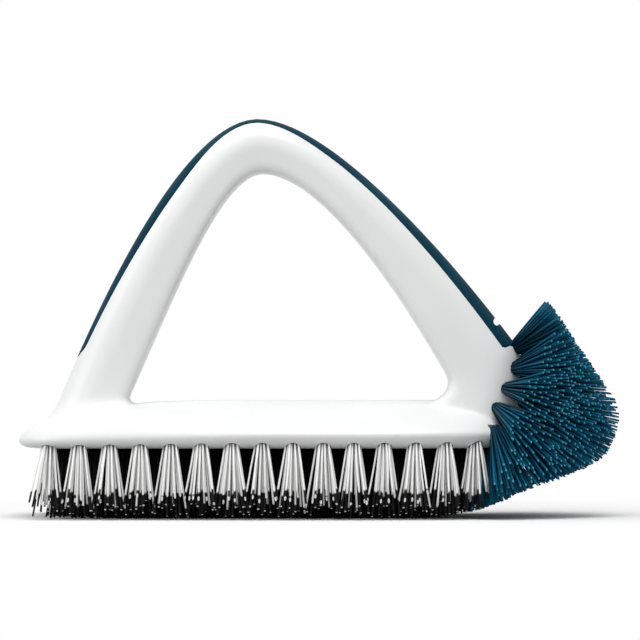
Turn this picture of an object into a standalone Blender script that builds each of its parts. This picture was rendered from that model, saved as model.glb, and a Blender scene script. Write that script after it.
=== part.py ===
# Flat scrub brush
#
# A moulded block with an arched hand loop, a soft grip let into the top of
# the loop, a row of light tufts along each long edge, three slices of dark
# tufts let into the underside, and a fan of teal tufts drilled into the nose.
#
# Metres, +Z up. +X points to the nose and Y runs across the brush. The origin
# lies under the middle of the brush, on the plane of the bristle tips.

import math

import bpy
import bmesh
from mathutils import Matrix, Vector
from mathutils.bvhtree import BVHTree

MM = 0.001
DEG = math.radians(1.0)

# Gap between a piece and the seat it is let into
CLEARANCE = 0.3 * MM

# Block: a flat board with a domed top, thin at the tail and pointed in plan at the nose
TAIL_X = -90.0 * MM
BLOCK_LENGTH = 151.0 * MM
BLOCK_WIDTH = 60.0 * MM
BLOCK_HEIGHT = 14.0 * MM
TAIL_THICKNESS = 5.4 * MM
TAIL_SLOPE_LENGTH = 70.0 * MM
TAIL_CORNER = 18.0 * MM
NOSE_TAPER = 51.0 * MM
EDGE_ROUND = 5.5 * MM
BRISTLE_TRIM = 21.0 * MM

# Shape of the block: exponents of its tail slope, its tail corners, its nose and its dome
SLOPE_POWER = 3.0
TAIL_POWER = 3.0
NOSE_POWER = 2.6
DOME_POWER = 2.2
DOME_TAIL_POWER = 8.2
DOME_ROOT = 1.6
# Share of the block's height at which its side stands furthest out
EDGE_SHARE = 0.36
# Share of the nose's length at which the dome's ridge ends
RIDGE_SHARE = 0.62
# Turns of the lower edge and shares of the width at which the block has an outline
LOWER_EDGE_TURNS = (0.0, 30.0 * DEG, 60.0 * DEG)
DOME_SHARES = (1.0, 0.965, 0.88, 0.74, 0.54, 0.28)
TAIL_STEPS = 6
SIDE_STEPS = 6
NOSE_STEPS = 10

# Hand loop: heights are above the crest of the block, setbacks along X from the block's ends
LOOP_RISE = 84.2 * MM
LOOP_THICKNESS = 16.3 * MM
LOOP_WIDTH = 25.0 * MM
APEX_SETBACK = 71.3 * MM
APEX_LEAN = 1.4 * MM
REAR_OUTER_SETBACK = 12.3 * MM
REAR_INNER_SETBACK = 32.7 * MM
REAR_FOOT_RISE = 1.0 * MM
FRONT_INNER_SETBACK = 23.2 * MM
FRONT_INNER_RISE = 7.9 * MM
NOSE_SETBACK = 2.2 * MM
NOSE_RISE = 16.3 * MM
NOSE_WIDTH = 28.0 * MM
NOSE_TOE_SETBACK = 3.5 * MM
FOOT_FLARE = 5.0 * MM
FOOT_SINK = 1.5 * MM
REAR_OUTER_LEAN = 68.0 * DEG
REAR_INNER_LEAN = 64.6 * DEG
FRONT_OUTER_LEAN = 53.7 * DEG
FRONT_INNER_LEAN = 60.0 * DEG

# Pull of each edge of a leg: at its foot as a share of its rise, at the apex as a share of its reach
REAR_OUTER_PULL = (0.21, 0.41)
REAR_INNER_PULL = (0.37, 0.33)
FRONT_OUTER_PULL = (0.46, 0.28)
FRONT_INNER_PULL = (0.65, 0.27)
# Ends of the feet inside the block, and the pulls towards them, as shares of the flare
REAR_TOE_REACH = 1.4
REAR_HEEL_REACH = 0.6
FRONT_HEEL_REACH = 1.3
REAR_TOE_PULL = (0.5, 0.35)
REAR_HEEL_PULL = (-0.25, 0.3)
FRONT_TOE_PULL = (1.0, 1.8)
FRONT_HEEL_PULL = (1.5, 0.5)
REAR_OUTER_EASE = 0.7
REAR_INNER_EASE = 0.3
FRONT_OUTER_EASE = 1.0
FRONT_INNER_EASE = 0.7

# Number of sections that each stretch of the loop is drawn with, and points in a section
STRETCH_STEPS = (3, 11, 11, 7)
SECTION_POINTS = 20
# Half the loop's width at the ends of the stretches
STRETCH_HALF_WIDTHS = (LOOP_WIDTH / 2 + FOOT_FLARE / 2, LOOP_WIDTH / 2 + FOOT_FLARE / 6,
                       LOOP_WIDTH / 2, NOSE_WIDTH / 2, NOSE_WIDTH / 2)
# Exponents of the rounded outer half and the squarer inner half of the loop's section,
# and how much the inner half narrows
CROWN_POWER = 2.5
INNER_POWER = 5.0
INNER_NARROWING = 0.06

# Grip: a crescent strip flush with the crown of the loop
GRIP_THICKNESS = 2.0 * MM
GRIP_REAR_SETBACK = 12.7 * MM
GRIP_FRONT_SETBACK = 1.2 * MM
GRIP_REAR_ROUND = 5.0 * MM
GRIP_FRONT_ROUND = 2.4 * MM
GROOVE_RADIUS = 1.2 * MM
GROOVE_DEPTH = 1.5 * MM
GROOVE_SETBACK = 9.0 * MM
GROOVE_SIDES = 10
# How far below the crown the grip's long edges lie, at shares of the way along the loop
GRIP_EDGE_DROPS = ((0.0, 1.2 * MM), (0.34, 2.4 * MM), (0.49, 1.2 * MM), (0.62, 2.0 * MM), (1.0, 3.7 * MM))
# Share of the round at each end of the grip that is left blunt
GRIP_BLUNT = 0.03
GRIP_STEPS = 20
GRIP_END_STEPS = 4
GRIP_ACROSS_STEPS = 6
PATH_STEPS = 600

# Outer rows: one tuft to a drilled hole
OUTER_TUFTS = 15
OUTER_STRANDS = 6
OUTER_EDGE = 3.0 * MM
OUTER_FIRST_SETBACK = 10.0 * MM
OUTER_LAST_SETBACK = 15.0 * MM
OUTER_TILT = 12.0 * DEG
FIRST_TUFT_LEAN = 0.05
HOLE_RADIUS = 2.25 * MM
HOLE_DEPTH = 4.2 * MM
ROOT_RECESS = 1.4 * MM
HOLE_SIDES = 8
# Length of a drill beyond the surface it starts from
DRILL_OVERRUN = 5.0 * MM

# Inner rows: tufts on three slices that lie side by side in a pocket
INNER_ROWS = 3
INNER_TUFTS = 13
POCKET_DEPTH = 3.5 * MM
POCKET_RIM = 5.4 * MM
POCKET_TAIL_SETBACK = 11.0 * MM
POCKET_WALL = 1.0 * MM
INNER_ROOT = 3.8 * MM

# Nose fan: tufts on curved columns, standing out from the middle of the nose. Angles change
# from step to step up a column, and the change itself grows by the ease.
NOSE_STRANDS = 7
NOSE_HOLE_RADIUS = 1.85 * MM
NOSE_HOLE_DEPTH = 2.9 * MM
NOSE_ROOT_RECESS = 0.8 * MM
NOSE_AXIS_SETBACK = 14.5 * MM
FAN_BASE_DROP = 0.6 * MM
FAN_GRIP_DROP = 0.8 * MM
FAN_LOW_TILT = -81.0 * DEG
FAN_TILT_STEP = 28.0 * DEG
FAN_TILT_EASE = 1.0 * DEG
FAN_LOW_AZIMUTH = 77.0 * DEG
FAN_AZIMUTH_STEP = 4.0 * DEG
FAN_AZIMUTH_EASE = 1.2 * DEG
FAN_LOW_SPREAD = 0.09
FAN_SPREAD_STEP = 0.05
FAN_SPREAD = 0.20
# Steps of the tufts on the side columns, the columns between and the middle column
SIDE_COLUMN = (0.9, 2.0, 3.0, 4.0, 5.0)
BETWEEN_COLUMN = (1.5, 2.5, 3.45)
MIDDLE_COLUMN = (0.9, 2.4, 4.1)
# Under the nose: share of the place angle, step and distance from the nose's axis
UNDER_TUFTS = ((1.0, 0.0, 14.0 * MM), (0.5, 0.3, 10.0 * MM))
# Share of a tuft's place angle that its own direction keeps
FAN_TURN = 0.75

# Trimmed shape of the bristles
FAN_REACH = 29.1 * MM
FAN_ROUND = 16.5 * MM
FAN_CENTRE_RISE = 9.0 * MM
FAN_PLAN_RADIUS = 33.0 * MM
FAN_TOP_ANGLE = 35.0 * DEG
FAN_TOP_CUT = 1.2 * MM
FAN_UNDER_ANGLE = 20.0 * DEG
TRIM_BLEND = 60.0 * MM

STRAND_TIP_RADIUS = 1.0 * MM
STRAND_GAP = 0.12 * MM
LONGEST_STRAND = 90.0 * MM
TRIM_HALVINGS = 40

# Places that follow from the sizes
UNDERSIDE_Z = BRISTLE_TRIM
CREST_Z = UNDERSIDE_Z + BLOCK_HEIGHT
NOSE_X = TAIL_X + BLOCK_LENGTH
APEX_X = TAIL_X + APEX_SETBACK
HALF_WIDTH = BLOCK_WIDTH / 2
TAIL_CORNER_X = TAIL_X + TAIL_CORNER
TAPER_X = NOSE_X - NOSE_TAPER
FAN_CENTRE_X = NOSE_X + FAN_REACH - FAN_ROUND
FAN_CENTRE_Z = UNDERSIDE_Z + FAN_CENTRE_RISE
# The steps of the fan start a little under the block, and its top is just under the grip's front end
FAN_PITCH = (FAN_BASE_DROP + BLOCK_HEIGHT + NOSE_RISE - FAN_GRIP_DROP) / SIDE_COLUMN[-1]


def clean_scene():
    for old in list(bpy.data.objects):
        bpy.data.objects.remove(old, do_unlink=True)


def new_collection(name):
    collection = bpy.data.collections.new(name)
    bpy.context.scene.collection.children.link(collection)
    return collection


def new_material(name, colour, roughness):
    material = bpy.data.materials.new(name)
    material.use_nodes = True
    shader = material.node_tree.nodes["Principled BSDF"]
    shader.inputs["Base Color"].default_value = (*colour, 1.0)
    shader.inputs["Roughness"].default_value = roughness
    shader.inputs["Metallic"].default_value = 0.0
    return material


def object_from_bmesh(name, bm, collection, material=None, smooth=True):
    """A new object, in triangles, because twisted quads leave folds where they are cut."""
    bmesh.ops.triangulate(bm, faces=bm.faces)
    bmesh.ops.recalc_face_normals(bm, faces=bm.faces)
    mesh = bpy.data.meshes.new(name)
    bm.to_mesh(mesh)
    bm.free()
    if smooth:
        mesh.shade_smooth()
        mesh.set_sharp_from_angle(angle=40.0 * DEG)
    piece = bpy.data.objects.new(name, mesh)
    collection.objects.link(piece)
    if material:
        mesh.materials.append(material)
    return piece


def as_cutter(piece):
    piece.hide_render = True
    piece.display_type = "WIRE"
    return piece


def combine(piece, other, operation, crossing=False):
    modifier = piece.modifiers.new(other.name, "BOOLEAN")
    modifier.operation = operation
    modifier.solver = "EXACT"
    modifier.object = other
    modifier.use_self = crossing


def add_skin(bm, rings):
    """Add a skin through rings of points, open at its first and last ring."""
    loops = [[bm.verts.new(point) for point in ring] for ring in rings]
    count = len(loops[0])
    for low, high in zip(loops, loops[1:]):
        for i in range(count):
            j = (i + 1) % count
            bm.faces.new((low[i], low[j], high[j], high[i]))
    return loops


def add_loft(bm, rings):
    """Add a closed skin through rings of points, flat at its first and last ring."""
    loops = add_skin(bm, rings)
    bm.faces.new(loops[0])
    bm.faces.new(loops[-1])


def loft(rings):
    bm = bmesh.new()
    add_loft(bm, rings)
    return bm


# Block


def tail_share(x):
    """How far down the tail slope x is: 0 at its start, 1 at the tip of the tail."""
    start = TAIL_X + TAIL_SLOPE_LENGTH
    return min(1.0, max(0.0, (start - x) / TAIL_SLOPE_LENGTH))


def crest_height(x):
    """Height of the block's crest, which falls away towards the tail."""
    fall = BLOCK_HEIGHT - TAIL_THICKNESS
    return CREST_Z - fall * tail_share(x) ** SLOPE_POWER


def edge_height(x):
    """Height at which the block's side stands furthest out."""
    return UNDERSIDE_Z + EDGE_SHARE * (crest_height(x) - UNDERSIDE_Z)


def lower_edge_height(x, turn):
    """Height of the rounded lower edge after this turn out from the flat underside."""
    edge = edge_height(x)
    return edge - (edge - UNDERSIDE_Z) * math.cos(turn)


def dome_height(x, share):
    """Height of the domed top where the outline is shrunk to this share."""
    power = DOME_POWER + (DOME_TAIL_POWER - DOME_POWER) * tail_share(x)
    edge = edge_height(x)
    return edge + (crest_height(x) - edge) * max(0.0, 1.0 - share ** power) ** (1 / DOME_ROOT)


def half_width(x):
    """Half the block's width at x: a squared tail, straight sides, a pointed round nose."""
    tail = (TAIL_CORNER_X - x) / TAIL_CORNER
    nose = (x - TAPER_X) / NOSE_TAPER
    if tail > 0.0:
        return HALF_WIDTH * max(0.0, 1.0 - tail ** TAIL_POWER) ** (1 / TAIL_POWER)
    if nose > 0.0:
        return HALF_WIDTH * math.sqrt(max(0.0, 1.0 - nose ** NOSE_POWER))
    return HALF_WIDTH


def plan_outline():
    """The block's outline on one side, from the tip of the tail to the tip of the nose."""
    points = []
    for step in range(TAIL_STEPS):
        turn = math.pi / 2 * step / TAIL_STEPS
        points.append(Vector((TAIL_CORNER_X - TAIL_CORNER * math.cos(turn) ** (2 / TAIL_POWER),
                              HALF_WIDTH * math.sin(turn) ** (2 / TAIL_POWER))))
    for step in range(SIDE_STEPS + 1):
        points.append(Vector((TAIL_CORNER_X + (TAPER_X - TAIL_CORNER_X) * step / SIDE_STEPS, HALF_WIDTH)))
    for step in range(NOSE_STEPS - 1, -1, -1):
        turn = math.pi / 2 * step / NOSE_STEPS
        points.append(Vector((TAPER_X + NOSE_TAPER * math.cos(turn) ** (2 / NOSE_POWER),
                              HALF_WIDTH * math.sin(turn))))
    return points


def ridge_x(x):
    """The point of the block's middle line that the outline shrinks towards."""
    if x > TAPER_X:
        return TAPER_X + RIDGE_SHARE * (x - TAPER_X)
    return max(x, TAIL_CORNER_X)


def block_ring(outline, share, height, setting):
    """The outline shrunk to a share of its width, each point at height(x, setting)."""
    side = []
    for point in outline:
        middle = ridge_x(point.x)
        x = middle + share * (point.x - middle)
        side.append(Vector((x, share * point.y, height(x, setting))))
    far = [Vector((p.x, -p.y, p.z)) for p in reversed(side[1:-1])]
    return side + far


def block_mesh():
    outline = plan_outline()
    flat_share = 1.0 - EDGE_ROUND / HALF_WIDTH
    rings = []
    for turn in LOWER_EDGE_TURNS:
        share = flat_share + (1.0 - flat_share) * math.sin(turn)
        rings.append(block_ring(outline, share, lower_edge_height, turn))
    for share in DOME_SHARES:
        rings.append(block_ring(outline, share, dome_height, share))
    bm = bmesh.new()
    loops = add_skin(bm, rings)
    bm.faces.new(loops[0])
    bridge_across(bm, loops[-1])
    return bm


def bridge_across(bm, loop):
    """Close a ring that is symmetric about the middle line with faces that span it."""
    count = len(loop)
    half = count // 2
    for i in range(half):
        near = (loop[i], loop[i + 1])
        far = (loop[-i - 1], loop[-i] if i else loop[0])
        corners = []
        for corner in (near[0], near[1], far[0], far[1]):
            if corner not in corners:
                corners.append(corner)
        bm.faces.new(corners)


# Hand loop


def bezier(points, t):
    a, b, c, d = points
    s = 1.0 - t
    return a * s ** 3 + b * (3 * s * s * t) + c * (3 * s * t * t) + d * t ** 3


def smooth(t):
    """Eases from 0 to 1, level at both ends."""
    return t * t * (3.0 - 2.0 * t)


def direction(angle):
    return Vector((math.cos(angle), math.sin(angle)))


def leg_edge(foot, up, apex, pull):
    """Curve from a foot, leaving it in the direction up, to the level apex."""
    level = Vector((apex.x - foot.x, 0.0))
    return [foot, foot + up * (pull[0] * (apex.y - foot.y)), apex - level * pull[1], apex]


def foot_edge(end, pull, up, ease, top):
    """Curve from an end inside the block to the top of the foot, arriving in the direction up."""
    return [end, end + Vector(pull) * FOOT_FLARE, top - up * (ease * FOOT_FLARE), top]


def loop_outlines():
    """Side view of the loop: outer and inner edge as matching cubic curves in X and Z.

    The four stretches are the rear foot, the rear leg up to the apex, the front
    leg down from it, and the nose, which runs down inside the block.
    """
    top = CREST_Z + LOOP_RISE
    outer_apex = Vector((APEX_X, top))
    inner_apex = Vector((APEX_X + APEX_LEAN, top - LOOP_THICKNESS))

    rear_outer = Vector((TAIL_X + REAR_OUTER_SETBACK, CREST_Z + REAR_FOOT_RISE))
    rear_inner = Vector((TAIL_X + REAR_INNER_SETBACK, CREST_Z + REAR_FOOT_RISE))
    front_outer = Vector((NOSE_X - NOSE_SETBACK, CREST_Z + NOSE_RISE))
    front_inner = Vector((NOSE_X - FRONT_INNER_SETBACK, CREST_Z + FRONT_INNER_RISE))

    rear_outer_up = direction(REAR_OUTER_LEAN)
    rear_inner_up = direction(REAR_INNER_LEAN)
    outer_up = direction(math.pi - FRONT_OUTER_LEAN)
    inner_up = direction(math.pi - FRONT_INNER_LEAN)

    rear_leg = (leg_edge(rear_outer, rear_outer_up, outer_apex, REAR_OUTER_PULL),
                leg_edge(rear_inner, rear_inner_up, inner_apex, REAR_INNER_PULL))
    front_leg = (leg_edge(front_outer, outer_up, outer_apex, FRONT_OUTER_PULL)[::-1],
                 leg_edge(front_inner, inner_up, inner_apex, FRONT_INNER_PULL)[::-1])

    toe_x = rear_outer.x - REAR_TOE_REACH * FOOT_FLARE
    toe = Vector((toe_x, crest_height(toe_x) - FOOT_SINK))
    heel = Vector((rear_inner.x + REAR_HEEL_REACH * FOOT_FLARE, CREST_Z - 2 * FOOT_SINK))
    rear_foot = (foot_edge(toe, REAR_TOE_PULL, rear_outer_up, REAR_OUTER_EASE, rear_outer),
                 foot_edge(heel, REAR_HEEL_PULL, rear_inner_up, REAR_INNER_EASE, rear_inner))

    toe = Vector((NOSE_X - NOSE_TOE_SETBACK, UNDERSIDE_Z + FOOT_SINK))
    heel = Vector((front_inner.x - FRONT_HEEL_REACH * FOOT_FLARE, CREST_Z - FOOT_SINK))
    nose = (foot_edge(toe, FRONT_TOE_PULL, outer_up, FRONT_OUTER_EASE, front_outer)[::-1],
            foot_edge(heel, FRONT_HEEL_PULL, inner_up, FRONT_INNER_EASE, front_inner)[::-1])
    return [rear_foot, rear_leg, front_leg, nose]


class Section:
    """A cross-section of the loop: its middle, its outward direction and its half sizes."""

    def __init__(self, stretch, t):
        outer_curve, inner_curve = OUTLINES[stretch]
        outer = bezier(outer_curve, t)
        inner = bezier(inner_curve, t)
        blend = smooth(t)
        before, after = STRETCH_HALF_WIDTHS[stretch:stretch + 2]
        self.half_width = before + (after - before) * blend
        self.outer = Vector((outer.x, 0.0, outer.y))
        self.middle = (self.outer + Vector((inner.x, 0.0, inner.y))) / 2
        self.half_height = (self.outer - self.middle).length
        self.outward = (self.outer - self.middle).normalized()

    def crown(self, y):
        """Height of the rounded outer face above the middle at y."""
        across = min(1.0, abs(y) / self.half_width)
        return self.half_height * (1.0 - across ** CROWN_POWER) ** (1 / CROWN_POWER)

    def point(self, y, height):
        return self.middle + self.outward * height + Vector((0.0, y, 0.0))

    def ring(self):
        points = []
        for i in range(SECTION_POINTS):
            turn = 2 * math.pi * i / SECTION_POINTS
            power = CROWN_POWER if i <= SECTION_POINTS // 2 else INNER_POWER
            across = signed_power(math.cos(turn), 2 / power)
            up = signed_power(math.sin(turn), 2 / power)
            narrow = 1.0 - INNER_NARROWING * max(0.0, -up)
            points.append(self.point(self.half_width * across * narrow, self.half_height * up))
        return points


def signed_power(value, power):
    return math.copysign(abs(value) ** power, value)


OUTLINES = loop_outlines()


def loop_mesh():
    rings = []
    for stretch, steps in enumerate(STRETCH_STEPS):
        first = 0 if stretch == 0 else 1
        rings += [Section(stretch, i / steps).ring() for i in range(first, steps + 1)]
    return loft(rings)


# Grip


def grip_path():
    """Fine sections along the outer edge from the rear leg's foot to the top of the nose.

    Returns pairs of a section and its distance along the edge.
    """
    path = [(Section(1, 0.0), 0.0)]
    for stretch in (1, 2):
        for i in range(1, PATH_STEPS + 1):
            section = Section(stretch, i / PATH_STEPS)
            last, travelled = path[-1]
            path.append((section, travelled + (section.outer - last.outer).length))
    return path


def section_at(path, distance):
    return min(path, key=lambda entry: abs(entry[1] - distance))[0]


def grip_half_width(section, along):
    """Half the grip's width where its edge has dropped as far below the crown as it should."""
    before, after = [pair for pair in zip(GRIP_EDGE_DROPS, GRIP_EDGE_DROPS[1:]) if pair[0][0] <= along][-1]
    t = (along - before[0]) / (after[0] - before[0])
    drop = before[1] + (after[1] - before[1]) * smooth(t)
    level = 1.0 - drop / section.half_height
    return section.half_width * (1.0 - level ** CROWN_POWER) ** (1 / CROWN_POWER)


def grip_end_steps(length):
    """Distances from an end of the grip, closer together where its outline turns most."""
    shares = [1.0 - math.cos(math.pi / 2 * step / GRIP_END_STEPS) for step in range(GRIP_END_STEPS + 1)]
    return [(GRIP_BLUNT + (1.0 - GRIP_BLUNT) * share) * length for share in shares]


def grip_stations(start, end):
    """Distances of the grip's sections, closer together in its rounded ends."""
    rear = [start + step for step in grip_end_steps(GRIP_REAR_ROUND)]
    front = [end - step for step in reversed(grip_end_steps(GRIP_FRONT_ROUND))]
    straight = front[0] - rear[-1]
    return rear + [rear[-1] + straight * i / GRIP_STEPS for i in range(1, GRIP_STEPS)] + front


def grip_mesh(path, margin, skin, floor):
    """A crescent strip: grown by margin all round, from floor below the crown to skin above."""
    start = GRIP_REAR_SETBACK - margin
    end = path[-1][1] - GRIP_FRONT_SETBACK + margin
    rings = []
    for distance in grip_stations(start, end):
        section = section_at(path, distance)
        inside = min(1.0, (distance - start) / GRIP_REAR_ROUND, (end - distance) / GRIP_FRONT_ROUND)
        rounding = math.sqrt(1.0 - (1.0 - inside) ** 2)
        along = min(1.0, distance / path[-1][1])
        half = (grip_half_width(section, along) + margin) * rounding
        turns = [math.pi / 2 * (2 * i / GRIP_ACROSS_STEPS - 1) for i in range(GRIP_ACROSS_STEPS + 1)]
        ys = [half * math.sin(turn) for turn in turns]
        top = [section.point(y, section.crown(y) + skin) for y in ys]
        bottom = [section.point(y, section.crown(y) - floor) for y in reversed(ys)]
        rings.append(top + bottom)
    return loft(rings)


# Bristles


def trim_rise(x):
    """Height of the trimmed bristle tips at x: flat, then curving up into a straight slope."""
    drop = FAN_CENTRE_Z * math.cos(FAN_UNDER_ANGLE) - FAN_ROUND
    meets_floor = FAN_CENTRE_X - drop / math.sin(FAN_UNDER_ANGLE)
    start = meets_floor - TRIM_BLEND * math.tan(FAN_UNDER_ANGLE / 2)
    end = start + TRIM_BLEND * math.sin(FAN_UNDER_ANGLE)
    if x <= start:
        return 0.0
    if x < end:
        return TRIM_BLEND - math.sqrt(TRIM_BLEND ** 2 - (x - start) ** 2)
    return (x - meets_floor) * math.tan(FAN_UNDER_ANGLE)


def trim_excess(point):
    """How far a point stands out of the trimmed shape; negative inside it."""
    excess = trim_rise(point.x) - point.z
    off = Vector((point.x - FAN_CENTRE_X, point.z - FAN_CENTRE_Z))
    angle = math.atan2(off.y, off.x)
    if FAN_UNDER_ANGLE - math.pi / 2 < angle < FAN_TOP_ANGLE:
        excess = max(excess, off.length - FAN_ROUND)
    excess = max(excess, off.dot(direction(FAN_TOP_ANGLE)) - FAN_ROUND + FAN_TOP_CUT)
    ahead = point.x - (NOSE_X + FAN_REACH - FAN_PLAN_RADIUS)
    if ahead > 0.0:
        excess = max(excess, math.hypot(ahead, point.y) - FAN_PLAN_RADIUS)
    return excess


def trim_length(start, lean):
    """Distance from start along lean to the trimmed shape."""
    near, far = 0.0, LONGEST_STRAND
    for _ in range(TRIM_HALVINGS):
        middle = (near + far) / 2
        if trim_excess(start + lean * middle) > 0.0:
            far = middle
        else:
            near = middle
    return near


def grow_strands(bm, patch, spread):
    """Split a root face into sectors and draw one strand out of each, up to the trim."""
    axis = patch.normal.copy()
    root = patch.calc_center_median()
    sectors = bmesh.ops.poke(bm, faces=[patch])["faces"]
    bmesh.ops.inset_individual(bm, faces=sectors, thickness=STRAND_GAP)
    tips = bmesh.ops.extrude_discrete_faces(bm, faces=sectors)["faces"]
    for tip in tips:
        middle = tip.calc_center_median()
        lean = (axis + (middle - root).normalized() * spread).normalized()
        size = STRAND_TIP_RADIUS / max((v.co - middle).length for v in tip.verts)
        for vert in tip.verts:
            start = middle + (vert.co - middle) * size
            vert.co = start + lean * trim_length(start, lean)


def aim(axis):
    """Rotation that turns +Z to the axis."""
    return axis.to_track_quat("Z", "Y").to_matrix().to_4x4()


def make_tuft(name, root, axis, hole_radius, hole_depth, recess, strands, spread, material, collection):
    """A tuft: a plug seated in its hole, with strands out of the plug's mouth."""
    radius = hole_radius * math.cos(math.pi / HOLE_SIDES) - CLEARANCE
    length = hole_depth - recess - CLEARANCE
    mouth = root - axis * recess
    bm = bmesh.new()
    bmesh.ops.create_cone(bm, cap_ends=True, segments=strands, radius1=radius, radius2=radius,
                          depth=length, matrix=Matrix.Translation((0.0, 0.0, -length / 2)))
    bmesh.ops.transform(bm, matrix=Matrix.Translation(mouth) @ aim(axis), verts=bm.verts)
    bm.normal_update()
    patch = max(bm.faces, key=lambda face: face.normal.dot(axis))
    grow_strands(bm, patch, spread)
    bmesh.ops.translate(bm, vec=-root, verts=bm.verts)
    tuft = object_from_bmesh(name, bm, collection, material, smooth=False)
    tuft.location = root
    return tuft


def add_drill(bm, root, axis, radius, depth, recess, spread):
    """A drill that is straight up to the tuft's mouth and widens with the strands beyond it."""
    place = Matrix.Translation(root) @ aim(axis)
    stops = [(-depth, radius), (DRILL_OVERRUN, radius + spread * (recess + DRILL_OVERRUN))]
    if spread > 0.0:
        stops.insert(1, (-recess, radius))
    rings = []
    for height, size in stops:
        turns = [2 * math.pi * i / HOLE_SIDES for i in range(HOLE_SIDES)]
        rings.append([place @ Vector((size * math.cos(t), size * math.sin(t), height)) for t in turns])
    add_loft(bm, rings)


def outer_pitch():
    rows = NOSE_X - OUTER_LAST_SETBACK - TAIL_X - OUTER_FIRST_SETBACK
    return rows / (OUTER_TUFTS - 1)


def row_spread(pitch, root_reach):
    """Spread at which the tips of a row stop just short of the next tuft's."""
    return (pitch / 2 - STRAND_TIP_RADIUS - CLEARANCE - root_reach) / BRISTLE_TRIM


def outer_places():
    """Root and direction of each outer tuft, by name."""
    places = {}
    for side, word in ((-1, "left"), (1, "right")):
        for i in range(OUTER_TUFTS):
            x = TAIL_X + OUTER_FIRST_SETBACK + outer_pitch() * i
            root = Vector((x, side * (half_width(x) - OUTER_EDGE), UNDERSIDE_Z))
            back = FIRST_TUFT_LEAN if i == 0 else 0.0
            axis = Vector((-back, side * math.tan(OUTER_TILT), -1.0)).normalized()
            places[f"outer_tuft_{word}_{i + 1:02d}"] = (root, axis)
    return places


def fan_rows():
    """Share of the place angle, step and reach of each nose tuft: the pairs, then the middle ones.

    A tuft with no reach stands on the upright skin of the nose, the others on the underside.
    """
    paired = [(1.0, step, None) for step in SIDE_COLUMN] + [(0.5, step, None) for step in BETWEEN_COLUMN]
    rows = []
    for share, step, reach in paired + list(UNDER_TUFTS):
        rows += [(-share, step, reach), (share, step, reach)]
    return rows + [(0.0, step, None) for step in MIDDLE_COLUMN]


def nose_places(skin):
    """Root, direction and spread of each nose tuft.

    The roots are found on the skin from the nose's upright axis, or lie on the
    flat underside. The lowest tufts stand closest together, so they spread least.
    """
    places = {}
    for number, (share, step, reach) in enumerate(fan_rows(), 1):
        azimuth = share * (FAN_LOW_AZIMUTH - FAN_AZIMUTH_STEP * step - FAN_AZIMUTH_EASE * step ** 2)
        tilt = FAN_LOW_TILT + FAN_TILT_STEP * step - FAN_TILT_EASE * step ** 2
        outward = Vector((math.cos(azimuth), math.sin(azimuth), 0.0))
        start = Vector((NOSE_X - NOSE_AXIS_SETBACK, 0.0, UNDERSIDE_Z - FAN_BASE_DROP + step * FAN_PITCH))
        if reach:
            root = start + outward * reach
            root.z = UNDERSIDE_Z
        else:
            root = skin.ray_cast(start, outward)[0]
        turned = azimuth * FAN_TURN
        level = math.cos(tilt)
        axis = Vector((level * math.cos(turned), level * math.sin(turned), math.sin(tilt)))
        spread = min(FAN_SPREAD, FAN_LOW_SPREAD + FAN_SPREAD_STEP * step)
        places[f"nose_tuft_{number:02d}"] = (root, axis, spread)
    return places


def pocket_limits():
    """Rear end, front end and half-width of the pocket for the inner slices."""
    half = HALF_WIDTH - OUTER_EDGE - HOLE_RADIUS - POCKET_RIM
    rear = TAIL_X + POCKET_TAIL_SETBACK
    front = NOSE_X
    while half_width(front) < half + POCKET_WALL + 2 * HOLE_RADIUS + OUTER_EDGE:
        front -= 0.5 * MM
    return rear, front, half


def make_strip(name, centre_y, width, rear, front, material, collection):
    """A slice of backing with a row of tufts on its underside."""
    pitch = (front - rear) / INNER_TUFTS
    half_root = INNER_ROOT / 2
    xs = [rear]
    for i in range(INNER_TUFTS):
        middle = rear + pitch * (i + 0.5)
        xs += [middle - half_root, middle + half_root]
    xs.append(front)
    ys = [-width / 2, -half_root, half_root, width / 2]
    bm = bmesh.new()
    grid = [[bm.verts.new((x, centre_y + y, UNDERSIDE_Z)) for y in ys] for x in xs]
    patches = []
    for i in range(len(xs) - 1):
        for j in range(3):
            face = bm.faces.new((grid[i][j], grid[i][j + 1], grid[i + 1][j + 1], grid[i + 1][j]))
            if i % 2 == 1 and j == 1:
                patches.append(face)
    rim = [row[0] for row in grid] + grid[-1][1:3] + [row[3] for row in reversed(grid)] + grid[0][2:0:-1]
    thickness = Vector((0.0, 0.0, POCKET_DEPTH - CLEARANCE))
    top = [bm.verts.new(vert.co + thickness) for vert in rim]
    for i in range(len(rim)):
        j = (i + 1) % len(rim)
        bm.faces.new((rim[i], rim[j], top[j], top[i]))
    bm.faces.new(top)
    bmesh.ops.recalc_face_normals(bm, faces=bm.faces)
    bm.normal_update()
    spread = row_spread(pitch, INNER_ROOT / 3)
    for patch in patches:
        grow_strands(bm, patch, spread)
    return object_from_bmesh(name, bm, collection, material, smooth=False)


def box_mesh(low, high):
    bm = bmesh.new()
    middle = (low + high) / 2
    size = Matrix.Diagonal((*(high - low), 1.0))
    bmesh.ops.create_cube(bm, size=1.0, matrix=Matrix.Translation(middle) @ size)
    return bm


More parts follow.
